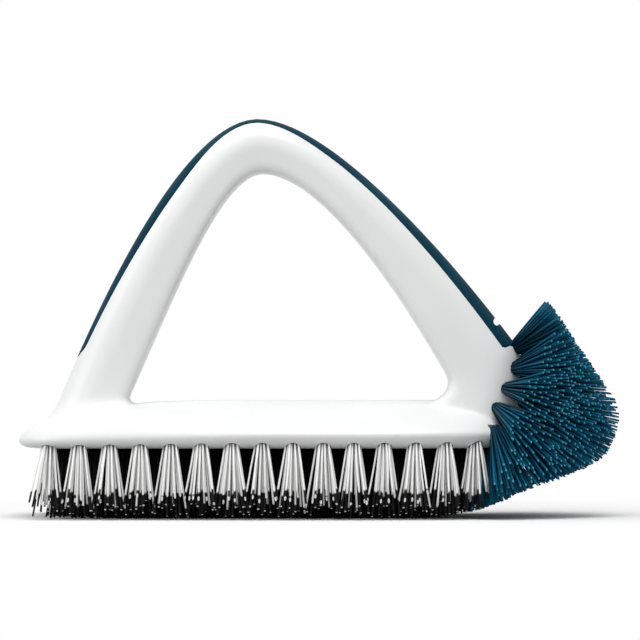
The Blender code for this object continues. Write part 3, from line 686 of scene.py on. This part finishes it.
deselect_all()
drills = [add_drill(root, axis, HOLE_RADIUS, HOLE_DEPTH) for root, axis in outer_tufts.values()]
drills += [add_drill(root, axis, NOSE_HOLE_RADIUS, NOSE_HOLE_DEPTH)
           for root, axis in nose_tufts.values()]
make_active(drills[0])
for drill in drills:
    drill.select_set(True)
bpy.ops.object.join()
cut(shell, bpy.context.active_object, crossing=True)
print("moulding after drilling:", len(shell.data.polygons), "faces")

# %% [markdown]
# ## Filaments
#
# A filament is a thin straight-drawn rod of plastic, cut off at its end. One rod
# is modelled, with few faces because there are thousands of them, and each tuft
# is made of copies of it: packed close at the root, splayed towards the tip, and
# trimmed where the brush is trimmed.

# %% One filament
ROD_SIDES = 6
ROD_STEPS = (0.4, 0.35, 0.25)

deselect_all()
bpy.ops.mesh.primitive_circle_add(vertices=ROD_SIDES, radius=1.0, fill_type="NGON")
rod = bpy.context.active_object
bpy.ops.object.mode_set(mode="EDIT")
bpy.ops.mesh.select_all(action="SELECT")
for rise in ROD_STEPS:
    bpy.ops.mesh.extrude_region_move(TRANSFORM_OT_translate={"value": (0.0, 0.0, rise)})
bpy.ops.mesh.select_all(action="SELECT")
bpy.ops.mesh.normals_make_consistent(inside=False)
bpy.ops.object.mode_set(mode="OBJECT")
ROD_POINTS = np.array([v.co for v in rod.data.vertices])
ROD_FACES = [list(p.vertices) for p in rod.data.polygons]
ROD_END = [i for i, p in enumerate(rod.data.polygons) if p.normal.z > 0.9]
bpy.data.objects.remove(rod, do_unlink=True)
print("one filament has", len(ROD_FACES), "faces")

# %% The trimmed outline
# Seen from the side, the fan is trimmed round a centre, and straight above and below it
FAN_REACH = 29.1 * MM
FAN_ROUND = 16.5 * MM
FAN_CENTRE_X = NOSE_X + FAN_REACH - FAN_ROUND
FAN_CENTRE_Z = UNDERSIDE_Z + 9.0 * MM
FAN_TOP = 35.0 * DEG
FAN_TOP_CUT = 1.2 * MM
FAN_UNDER = 20.0 * DEG
TRIM_BLEND = 60.0 * MM
# Seen from above, it has a pointed plan of this length and half width
FAN_PLAN = (33.0 * MM, 30.0 * MM)
FAN_PLAN_POWER = 1.4
TRIM_HALF_WIDTH = 34.0 * MM
EDGE_TRIM_START = 24.5 * MM
EDGE_TRIM_ROUND = 11.0 * MM
LONGEST_FILAMENT = 60.0 * MM
TRIM_HALVINGS = 16
TRIM_STEP = 0.2 * MM


def trim_rise(x):
    """Height of the trimmed tips at x: flat, then curving up under the nose."""
    drop = FAN_CENTRE_Z * math.cos(FAN_UNDER) - FAN_ROUND
    meets_floor = FAN_CENTRE_X - drop / math.sin(FAN_UNDER)
    start = meets_floor - TRIM_BLEND * math.tan(FAN_UNDER / 2)
    end = start + TRIM_BLEND * math.sin(FAN_UNDER)
    if x <= start:
        return 0.0
    if x < end:
        return TRIM_BLEND - math.sqrt(TRIM_BLEND ** 2 - (x - start) ** 2)
    return (x - meets_floor) * math.tan(FAN_UNDER)


def trim_excess(point):
    """How far a point stands out of the trimmed shape; negative inside it."""
    excess = trim_rise(point.x) - point.z
    side = abs(point.y) - EDGE_TRIM_START
    if side > 0.0:
        rounded = EDGE_TRIM_ROUND - math.sqrt(max(0.0, EDGE_TRIM_ROUND ** 2 - side ** 2))
        excess = max(excess, trim_rise(point.x) + rounded - point.z)
    off = Vector((point.x - FAN_CENTRE_X, point.z - FAN_CENTRE_Z))
    if FAN_UNDER - math.pi / 2 < math.atan2(off.y, off.x) < FAN_TOP:
        excess = max(excess, off.length - FAN_ROUND)
    excess = max(excess, off.dot(direction(FAN_TOP)) - FAN_ROUND + FAN_TOP_CUT)
    ahead = max(0.0, point.x - (NOSE_X + FAN_REACH - FAN_PLAN[0])) / FAN_PLAN[0]
    if ahead > 0.0:
        beside = abs(point.y) / FAN_PLAN[1]
        share = (ahead ** FAN_PLAN_POWER + beside ** FAN_PLAN_POWER) ** (1 / FAN_PLAN_POWER)
        excess = max(excess, (share - 1.0) * FAN_PLAN[0])
    return max(excess, abs(point.y) - TRIM_HALF_WIDTH)


def trim_length(start, lean):
    """Length of a filament from its start to the trim, found by halving."""
    near, far = 0.0, LONGEST_FILAMENT
    for _ in range(TRIM_HALVINGS):
        middle = (near + far) / 2
        if trim_excess(start + lean * middle) > 0.0:
            far = middle
        else:
            near = middle
    return near


def cut_direction(point):
    """Direction that the trimmed surface faces at a point on it."""
    here = trim_excess(point)
    axes = ((1, 0, 0), (0, 1, 0), (0, 0, 1))
    slope = [trim_excess(point + Vector(axis) * TRIM_STEP) - here for axis in axes]
    return Vector(slope).normalized()

# %% [markdown]
# ## A tuft of filaments
#
# The roots lie on a sunflower pattern, which packs round rods evenly. Each
# filament leans outwards in proportion to its distance from the middle, with a
# little scatter, and a few stray. The trimmer cuts along the brush's outline and
# not square to each filament, so every end is laid in the plane of the cut.
# Three values are stored on the mesh for the finish to read: the filament's own
# tone, the distance from its cut end, and a mark on the cut end itself.

# %% Build tufts
GOLDEN_TURN = 2.39996
PLACE_SCATTER = 0.08
# Scatter of the lean, the larger scatter of a few strays, and their share
LEAN_SCATTER = 0.010
STRAY_SCATTER = 0.07
STRAY_SHARE = 0.03
SIZE_RANGE = (0.92, 1.08)
# Scatter of the bow, in millimetres
BOW_SCATTER = 0.12
RAGGED_POWER = 1.5
SHORTEST_FILAMENT = 4.0 * MM
STEEPEST_CUT = 0.45


def place_rod(base, lean, length, size, spin, bow):
    """Points of one filament: the rod turned, sized, bowed in the middle and cut at the trim."""
    u = lean.cross(Vector((0.3, 1.0, 0.2))).normalized()
    v = lean.cross(u)
    rise = ROD_POINTS[:, 2:3]
    along = np.array(base) + rise * length * np.array(lean)
    along += (rise * (1.0 - rise)) * 4.0 * np.array(bow)
    c, s = math.cos(spin), math.sin(spin)
    x = ROD_POINTS[:, 0:1] * c - ROD_POINTS[:, 1:2] * s
    y = ROD_POINTS[:, 0:1] * s + ROD_POINTS[:, 1:2] * c
    ring = size * (x * np.array(u) + y * np.array(v))
    facing = cut_direction(base + lean * length)
    slant = -(ring @ np.array(facing)) / max(STEEPEST_CUT, lean.dot(facing))
    return along + ring + (rise > 0.99) * slant[:, None] * np.array(lean)


def store_values(mesh, label, domain, values):
    """Keep one number for each face or point under a label that the finish reads."""
    mesh.attributes.new(label, "FLOAT", domain).data.foreach_set("value", values)


def make_tuft(name, root, axis, seed, count, root_radius, rod_radius, spread, sink, uneven, ragged):
    """A mesh of filaments that leave a round root along the axis, splay, and end at the trim.

    The spread has two values: up and down the brush's middle plane, and away from that plane.
    The roots are sunk into the hole by sink. A whole tuft is shorter by up to uneven, and each
    filament by up to ragged.
    """
    chance = random.Random(seed)
    shorter = chance.random() * uneven
    across = axis.cross(Vector((0.0, 1.0, 0.0))).normalized()
    beside = axis.cross(across).normalized()
    rods, faces, tones, ends, reach = [], [], [], [], []
    for i in range(count):
        radius = root_radius * math.sqrt((i + 0.5) / count)
        turn = GOLDEN_TURN * i + chance.uniform(-PLACE_SCATTER, PLACE_SCATTER)
        offset = across * (radius * math.cos(turn)) + beside * (radius * math.sin(turn))
        splay = (across * (radius * math.cos(turn) * spread[0])
                 + beside * (radius * math.sin(turn) * spread[1])) / root_radius
        scatter = LEAN_SCATTER if chance.random() > STRAY_SHARE else STRAY_SCATTER
        splay += across * chance.gauss(0.0, scatter) + beside * chance.gauss(0.0, scatter)
        lean = (axis + splay).normalized()
        base = root - axis * sink + offset
        length = trim_length(base, lean) - shorter - chance.random() ** RAGGED_POWER * ragged
        if length < SHORTEST_FILAMENT:
            continue
        spin = chance.uniform(0.0, 1.0)
        size = rod_radius * chance.uniform(*SIZE_RANGE)
        bow = (across * chance.gauss(0.0, BOW_SCATTER) + beside * chance.gauss(0.0, BOW_SCATTER)) * MM
        first = len(rods) * len(ROD_POINTS)
        rods.append(place_rod(base, lean, length, size, spin, bow))
        faces += [[first + k for k in face] for face in ROD_FACES]
        ends += [1.0 if k in ROD_END else 0.0 for k in range(len(ROD_FACES))]
        tones += [chance.random()] * len(ROD_FACES)
        reach += list((1.0 - ROD_POINTS[:, 2]) * length)
    mesh = bpy.data.meshes.new(name)
    mesh.from_pydata(np.vstack(rods).tolist(), [], faces)
    mesh.shade_smooth()
    for polygon, end in zip(mesh.polygons, ends):
        polygon.use_smooth = end < 0.5
    store_values(mesh, "filament_tone", "FACE", tones)
    store_values(mesh, "cut_end", "FACE", ends)
    store_values(mesh, "from_tip", "POINT", reach)
    piece = bpy.data.objects.new(name, mesh)
    bpy.context.collection.objects.link(piece)
    return piece


WHITE_TUFT = {"count": 18, "root_radius": 1.9 * MM, "rod_radius": 0.31 * MM, "spread": (0.17, 0.17),
              "sink": 2.0 * MM, "uneven": 0.2 * MM, "ragged": 4.5 * MM}
TEAL_TUFT = {"root_radius": 1.4 * MM, "rod_radius": 0.30 * MM, "spread": (0.31, 0.50),
             "sink": 1.5 * MM, "uneven": 1.0 * MM, "ragged": 0.3 * MM}
# Painted shade: the inner rows are made of black filaments, a dark fill for the deep shade among the
# tufts.
BLACK_TUFT = {"count": 60, "root_radius": 2.4 * MM, "rod_radius": 0.28 * MM, "spread": (0.16, 0.16),
              "sink": 1.0 * MM, "uneven": 0.3 * MM, "ragged": 1.0 * MM}
# The nose tufts that point ahead stand against the background, so they are fuller
SIDE_FILAMENTS = 64
AHEAD_FILAMENTS = 90
SIDEWAYS = 0.45
# Each tuft has its own seed for its random draws
OUTER_SEED, NOSE_SEED, INNER_SEED, ROW_SEED_STEP = 100, 300, 600, 20

pieces = {}
for i, (name, (root, axis)) in enumerate(outer_tufts.items()):
    tuft = make_tuft(name + "_filaments", root, axis, OUTER_SEED + i, **WHITE_TUFT)
    pieces[name] = (tuft, "white_bristle")
for i, (name, (root, axis)) in enumerate(nose_tufts.items()):
    count = SIDE_FILAMENTS if abs(axis.y) > SIDEWAYS else AHEAD_FILAMENTS
    tuft = make_tuft(name + "_filaments", root, axis, NOSE_SEED + i, count, **TEAL_TUFT)
    pieces[name] = (tuft, "teal_bristle")
print("filament pieces so far:", len(pieces))

# %% The inner rows
# The first tuft's distance from the tail and the number of tufts in each row
INNER_ROWS = {"left": (14.5 * MM, 14), "centre": (19.0 * MM, 13), "right": (14.5 * MM, 14)}
for row, (word, (first, count)) in enumerate(INNER_ROWS.items()):
    node = f"inner_bristle_slice_{word}"
    low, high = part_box(node)
    tufts = []
    for i in range(count):
        root = Vector((TAIL_X + first + ROW_PITCH * i, (low.y + high.y) / 2, UNDERSIDE_Z))
        tufts.append(make_tuft(f"{node}_{i}", root, Vector((0.0, 0.0, -1.0)),
                               INNER_SEED + ROW_SEED_STEP * row + i, **BLACK_TUFT))
    make_active(tufts[0])
    for tuft in tufts:
        tuft.select_set(True)
    bpy.ops.object.join()
    joined = bpy.context.active_object
    joined.name = node + "_filaments"
    pieces[node] = (joined, "black_bristle")
print("filament pieces:", len(pieces))

# %% [markdown]
# ## Effects that the finishes share
#
# Moulded plastic and rubber both have a fine grain from the steel of the mould
# and a broad, faint unevenness from the way they cool. Every kind of filament
# varies a little from one to the next, and the teal and black ones have paler cut
# ends, a painted highlight.
# Each of these is a small group of nodes, made once and used with its own
# values in each finish.

# %% Helpers for nodes
def add_node(tree, kind, values=None, **settings):
    """Add a node, set its settings, and fill its sockets by name or number."""
    node = tree.nodes.new(kind)
    for key, value in settings.items():
        setattr(node, key, value)
    for key, value in (values or {}).items():
        if isinstance(value, bpy.types.NodeSocket):
            tree.links.new(value, node.inputs[key])
        else:
            node.inputs[key].default_value = value
    return node


def new_group(name, inputs, outputs):
    """A shader node group with named sockets; gives its tree, input node and output node."""
    tree = bpy.data.node_groups.new(name, "ShaderNodeTree")
    for label, kind in inputs:
        tree.interface.new_socket(label, in_out="INPUT", socket_type=kind)
    for label, kind in outputs:
        tree.interface.new_socket(label, in_out="OUTPUT", socket_type=kind)
    return tree, tree.nodes.new("NodeGroupInput"), tree.nodes.new("NodeGroupOutput")


def mix_colours(tree, factor, first, second):
    """A colour between two others, at sockets 6 and 7 of the node; gives its output, socket 2."""
    values = {"Factor": factor, 6: first, 7: second}
    return add_node(tree, "ShaderNodeMix", values, data_type="RGBA").outputs[2]


def calculate(tree, operation, first, second):
    """A sum on two values, such as ADD or MULTIPLY; gives its output socket."""
    return add_node(tree, "ShaderNodeMath", {0: first, 1: second}, operation=operation).outputs[0]


def map_range(tree, value, before, after, **settings):
    """Carry a value from one range to another; gives its output socket."""
    values = {"Value": value, "From Min": before[0], "From Max": before[1],
              "To Min": after[0], "To Max": after[1]}
    return add_node(tree, "ShaderNodeMapRange", values, clamp=True, **settings).outputs["Result"]


def noise(tree, place, scale, detail, roughness):
    """A noise texture; gives the output socket of its value."""
    values = {"Vector": place, "Scale": scale, "Detail": detail, "Roughness": roughness}
    return add_node(tree, "ShaderNodeTexNoise", values).outputs["Fac"]


def use_group(tree, group, values):
    node = tree.nodes.new("ShaderNodeGroup")
    node.node_tree = group
    for key, value in values.items():
        node.inputs[key].default_value = value
    return node


# %% Grain of a moulded surface
FLOAT, COLOUR = "NodeSocketFloat", "NodeSocketColor"

grain, grain_in, grain_out = new_group(
    "mould_grain",
    [("Grain Scale", FLOAT), ("Flow Scale", FLOAT)], [("Height", FLOAT), ("Tone", FLOAT)])
place = add_node(grain, "ShaderNodeTexCoord").outputs["Object"]
fine = noise(grain, place, grain_in.outputs["Grain Scale"], detail=3.0, roughness=0.6)
broad = noise(grain, place, grain_in.outputs["Flow Scale"], detail=2.0, roughness=0.5)
grain.links.new(fine, grain_out.inputs["Height"])
grain.links.new(map_range(grain, broad, (0.3, 0.7), (0.0, 1.0)), grain_out.inputs["Tone"])
print("group:", grain.name)

# %% Look of a bundle of filaments
lot, lot_in, lot_out = new_group(
    "filament_lot",
    [("Stem Colour", COLOUR), ("Tip Colour", COLOUR), ("Cut Colour", COLOUR),
     ("Tip Length", FLOAT), ("Least Tone", FLOAT), ("Most Tone", FLOAT)],
    [("Colour", COLOUR), ("Tone", FLOAT), ("Cut End", FLOAT)])
own_tone = add_node(lot, "ShaderNodeAttribute", attribute_name="filament_tone").outputs["Fac"]
cut_end = add_node(lot, "ShaderNodeAttribute", attribute_name="cut_end").outputs["Fac"]
from_tip = add_node(lot, "ShaderNodeAttribute", attribute_name="from_tip").outputs["Fac"]
# Painted shade: where the stem colour is darker than the tip colour, as in the teal and black
# finishes, the filament is painted darker towards its root, for the shade deep in the bundle.
near_tip = map_range(lot, from_tip, (0.0, lot_in.outputs["Tip Length"]), (1.0, 0.0))
along = mix_colours(lot, near_tip, lot_in.outputs["Stem Colour"], lot_in.outputs["Tip Colour"])
strength = map_range(lot, own_tone, (0.0, 1.0),
                     (lot_in.outputs["Least Tone"], lot_in.outputs["Most Tone"]))
toned = add_node(lot, "ShaderNodeVectorMath", {0: along, "Scale": strength}, operation="SCALE")
# Painted highlight: the cut end takes the cut colour, paler than the rest in the teal and black
# finishes, for the glint on the cut ends.
ended = mix_colours(lot, cut_end, toned.outputs["Vector"], lot_in.outputs["Cut Colour"])
lot.links.new(ended, lot_out.inputs["Colour"])
lot.links.new(own_tone, lot_out.inputs["Tone"])
lot.links.new(cut_end, lot_out.inputs["Cut End"])
print("group:", lot.name)

# %% [markdown]
# ## Finishes of the moulding and the grip
#
# The moulding is a bright white polypropylene with a satin surface. It isn't
# quite even: where the plastic cooled slowest it is a touch greyer and duller.
# The grip is a soft dark teal rubber, duller than the plastic and grainier.

# %% Satin white plastic and teal rubber
def new_finish(name):
    """A material, its node tree and its own Principled shader."""
    material = bpy.data.materials.new(name)
    material.use_nodes = True
    return material, material.node_tree, material.node_tree.nodes["Principled BSDF"]


def moulded_finish(name, scales, colours, roughness, bump, specular):
    """A plastic or rubber whose colour, roughness and height come from the grain group."""
    material, tree, shader = new_finish(name)
    surface = use_group(tree, grain, {"Grain Scale": scales[0], "Flow Scale": scales[1]}).outputs
    tone = surface["Tone"]
    colour = mix_colours(tree, tone, (*colours[0], 1.0), (*colours[1], 1.0))
    raised = add_node(tree, "ShaderNodeBump",
                      {"Height": surface["Height"], "Strength": bump[0], "Distance": bump[1]})
    tree.links.new(colour, shader.inputs["Base Color"])
    tree.links.new(map_range(tree, tone, (0.0, 1.0), roughness), shader.inputs["Roughness"])
    tree.links.new(raised.outputs["Normal"], shader.inputs["Normal"])
    shader.inputs["Specular IOR Level"].default_value = specular
    return material


white_plastic = moulded_finish(
    "satin_white_plastic", scales=(1800.0, 35.0), colours=((0.785, 0.79, 0.79), (0.815, 0.82, 0.82)),
    roughness=(0.42, 0.34), bump=(0.10, 0.05 * MM), specular=0.5)
teal_rubber = moulded_finish(
    "teal_rubber", scales=(2600.0, 60.0), colours=((0.0010, 0.030, 0.052), (0.0016, 0.042, 0.070)),
    roughness=(0.72, 0.60), bump=(0.35, 0.08 * MM), specular=0.05)
print("finishes:", white_plastic.name, teal_rubber.name)

# %% [markdown]
# ## Finishes of the filaments
#
# The nose has teal filaments, painted darker towards their roots for the shade deep
# in the bundle, a painted shade. The block has white ones outside and black ones
# inside, the black a painted shade among the tufts. Most of the white filaments are
# painted black, a painted shade, up to a line seven to nine millimetres above the
# floor, and the others only up to about four. Their cut ends stay white, and the
# teal and black cut ends are paler, a painted highlight.

# %% Teal, white and black filaments
FILAMENT_SPECULAR = 0.08


def filament_finish(name, stem, tip, cut_colour, tip_length, tones, roughness):
    """A filament material; gives its tree, its shader and the group's outputs as well."""
    material, tree, shader = new_finish(name)
    bundle = use_group(tree, lot, {"Stem Colour": (*stem, 1.0), "Tip Colour": (*tip, 1.0),
                                   "Cut Colour": (*cut_colour, 1.0), "Tip Length": tip_length,
                                   "Least Tone": tones[0], "Most Tone": tones[1]})
    dull = map_range(tree, bundle.outputs["Tone"], (0.0, 1.0), roughness)
    tree.links.new(bundle.outputs["Colour"], shader.inputs["Base Color"])
    tree.links.new(dull, shader.inputs["Roughness"])
    shader.inputs["Specular IOR Level"].default_value = FILAMENT_SPECULAR
    return material, tree, shader, bundle


# Painted shade and highlight: the teal stems are painted much darker than the tips, for the shade
# deep in the bundle, and the cut ends paler, for their glint.
teal_filament = filament_finish(
    "teal_filament", stem=(0.0005, 0.034, 0.064), tip=(0.0012, 0.108, 0.195),
    cut_colour=(0.060, 0.36, 0.48), tip_length=15.0 * MM, tones=(0.45, 1.35),
    roughness=(0.35, 0.5))[0]
# Painted shade: black inner rows stand for the deep shade among the tufts; their stems are darker and
# their cut ends paler, painted shade and highlight.
black_filament = filament_finish(
    "black_filament", stem=(0.008, 0.008, 0.009), tip=(0.014, 0.014, 0.016),
    cut_colour=(0.05, 0.05, 0.055), tip_length=6.0 * MM, tones=(0.6, 1.3), roughness=(0.38, 0.5))[0]
white_filament, tree, shader, bundle = filament_finish(
    "white_filament", stem=(0.94, 0.94, 0.935), tip=(0.94, 0.94, 0.94),
    cut_colour=(0.9, 0.9, 0.9), tip_length=6.0 * MM, tones=(0.84, 1.03), roughness=(0.35, 0.45))

# %% Paint shade on the ends of the white filaments
# Painted shade: low tones are painted black up to the first height and others up to the second, and
# each of them higher by its own tone times the spread
SHADE_PAINT_TONES = (0.18, 0.24)
SHADE_PAINT_HEIGHTS = (3.6 * MM, 6.4 * MM)
SHADE_PAINT_SPREAD = 3.0 * MM
SHADE_PAINT_BLUR = 0.25 * MM
PAINTED_SHADE_COLOUR = (0.012, 0.012, 0.013, 1.0)

place = add_node(tree, "ShaderNodeTexCoord").outputs["Object"]
height = add_node(tree, "ShaderNodeSeparateXYZ", {0: place}).outputs["Z"]
shade_paint_height = map_range(tree, bundle.outputs["Tone"], SHADE_PAINT_TONES, SHADE_PAINT_HEIGHTS)
own_rise = calculate(tree, "MULTIPLY", bundle.outputs["Tone"], SHADE_PAINT_SPREAD)
shade_paint_line = calculate(tree, "ADD", shade_paint_height, own_rise)
above = calculate(tree, "SUBTRACT", height, shade_paint_line)
painted_shade_band = map_range(tree, above, (-SHADE_PAINT_BLUR, SHADE_PAINT_BLUR), (1.0, 0.0))
not_cut = calculate(tree, "SUBTRACT", 1.0, bundle.outputs["Cut End"])
dark = calculate(tree, "MULTIPLY", painted_shade_band, not_cut)
# Painted shade: the white filaments are painted black below their line, all but the cut ends.
colour = mix_colours(tree, dark, bundle.outputs["Colour"], PAINTED_SHADE_COLOUR)
tree.links.new(colour, shader.inputs["Base Color"])
print("filament finishes:", teal_filament.name, black_filament.name, white_filament.name)

# %% Put the finishes on
pieces["block_and_handle"] = (shell, "white_moulding")
pieces["soft_grip"] = (grip, "teal_grip")
FINISHES = {"white_moulding": white_plastic, "teal_grip": teal_rubber,
            "white_bristle": white_filament, "black_bristle": black_filament,
            "teal_bristle": teal_filament}
# Edges sharper than this stay crisp
SMOOTH_ANGLES = ((shell, 32.0 * DEG), (grip, 30.0 * DEG))

for piece, slot in pieces.values():
    piece.data.materials.clear()
    piece.data.materials.append(FINISHES[slot])
for piece, angle in SMOOTH_ANGLES:
    make_active(piece)
    bpy.ops.object.shade_smooth_by_angle(angle=angle)
print("pieces with a finish:", len(pieces))

# %% [markdown]
# ## Put each piece in place of its part
#
# Nothing moves on this brush, so every piece rides on the one body. Each piece
# replaces the plain part of the same name, which stays hidden for the physics.

# %% Ride and replace
for node, (piece, slot) in pieces.items():
    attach(piece, "root")
    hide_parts(node)
print("replaced parts:", len(pieces), "of", len(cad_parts))

# %% [markdown]
# ## Floor and background
#
# The brush stands in a studio with no visible wall. The floor takes a soft
# shadow close to the brush, and for the camera it fades to plain white with
# distance, so that no edge shows where it ends. The extra white is seen only by
# camera, mirror and glass rays, so it adds no light to the brush. For the light
# that it throws back up, the floor is a mid grey.

# %% Floor
FLOOR_SIZE = 8.0
BOUNCE_GREY = (0.45, 0.45, 0.45, 1.0)
SEEN_GREY = (0.90, 0.90, 0.90, 1.0)
PLAIN_WHITE = (1.0, 1.0, 1.0, 1.0)
# Distances from the middle at which the floor starts to fade and is plain white
FADE = (0.06, 0.20)


def seen_directly(tree):
    """A value of 1 for camera, mirror and glass rays, and 0 for rays that only carry light."""
    rays = add_node(tree, "ShaderNodeLightPath").outputs
    seen = calculate(tree, "MAXIMUM", rays["Is Camera Ray"], rays["Is Glossy Ray"])
    return calculate(tree, "MAXIMUM", seen, rays["Is Transmission Ray"])


deselect_all()
bpy.ops.mesh.primitive_plane_add(size=FLOOR_SIZE)
floor = bpy.context.active_object
floor.name = "studio_floor"
floor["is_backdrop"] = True
material, tree, shader = new_finish("studio_floor")
shader.inputs["Roughness"].default_value = 0.9
shader.inputs["Specular IOR Level"].default_value = 0.1
seen = seen_directly(tree)
tree.links.new(mix_colours(tree, seen, BOUNCE_GREY, SEEN_GREY), shader.inputs["Base Color"])
place = add_node(tree, "ShaderNodeTexCoord").outputs["Object"]
distance = add_node(tree, "ShaderNodeVectorMath", {0: place}, operation="LENGTH").outputs["Value"]
fade = map_range(tree, distance, FADE, (0.0, 1.0), interpolation_type="SMOOTHSTEP")
lift = calculate(tree, "MULTIPLY", seen, fade)
glow = add_node(tree, "ShaderNodeEmission", {"Color": PLAIN_WHITE, "Strength": 1.0})
blend = add_node(tree, "ShaderNodeMixShader", {0: lift, 1: shader.outputs[0], 2: glow.outputs[0]})
tree.links.new(blend.outputs[0], tree.nodes["Material Output"].inputs["Surface"])
floor.data.materials.append(material)
print("floor size:", list(floor.dimensions))

# %% World
ROOM_STRENGTH = 0.38

world = bpy.data.worlds.new("studio")
bpy.context.scene.world = world
world.use_nodes = True
tree = world.node_tree
tree.nodes.clear()
room = add_node(tree, "ShaderNodeBackground", {"Color": PLAIN_WHITE, "Strength": ROOM_STRENGTH})
white = add_node(tree, "ShaderNodeBackground", {"Color": PLAIN_WHITE, "Strength": 1.0})
blend = add_node(tree, "ShaderNodeMixShader",
                 {0: seen_directly(tree), 1: room.outputs[0], 2: white.outputs[0]})
add_node(tree, "ShaderNodeOutputWorld", {"Surface": blend.outputs[0]})
print("world:", world.name)

# %% [markdown]
# ## Light and camera
#
# A wide soft light overhead, a little towards the camera, whitens the crown of
# the loop and the dome of the block. A weaker one at the tail's side does the
# same for the rear foot. Another weak one from the front keeps the side face
# an even pale grey. The camera looks straight at the long side with a long lens.

# %% Lights
AIM = Vector((0.0, 0.0, 0.05))


def soft_light(name, place, size, power):
    """A square area light at place, turned to shine at the brush."""
    light = bpy.data.lights.new(name, "AREA")
    light.size = size
    light.energy = power
    lamp = bpy.data.objects.new(name, light)
    lamp.location = place
    lamp.rotation_euler = (AIM - Vector(place)).to_track_quat("-Z", "Y").to_euler()
    bpy.context.scene.collection.objects.link(lamp)
    return lamp


lamps = [soft_light("overhead_light", (-0.01, -0.42, 1.14), size=0.8, power=10.0),
         soft_light("side_light", (-1.2, -0.35, 0.5), size=0.8, power=4.2),
         soft_light("front_light", (-0.25, -1.25, 0.72), size=0.9, power=3.45)]
print("lights:", len(lamps))

# %% Camera
CAMERA_DISTANCE = 1.6
CAMERA_HEIGHT = 0.059

camera_data = bpy.data.cameras.new("camera")
camera_data.sensor_width = 36.0
camera_data.lens = 300.0
camera = bpy.data.objects.new("camera", camera_data)
camera.location = (0.0, -CAMERA_DISTANCE, CAMERA_HEIGHT)
camera.rotation_euler = (math.pi / 2, 0.0, 0.0)
bpy.context.scene.collection.objects.link(camera)
bpy.context.scene.camera = camera
bpy.context.scene.view_settings.view_transform = "Standard"

# %% [markdown]
# ## Measure and finish
#
# The dressed model has to keep the size of the engineering model, so both boxes
# are written down and compared.

# %% Write the two boxes and finish
bpy.context.view_layer.update()
visual_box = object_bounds()
for label, (low, high) in (("engineering model", frame_box), ("dressed model", visual_box)):
    print(label, [round((b - a) / MM, 1) for a, b in zip(low, high)], "mm")
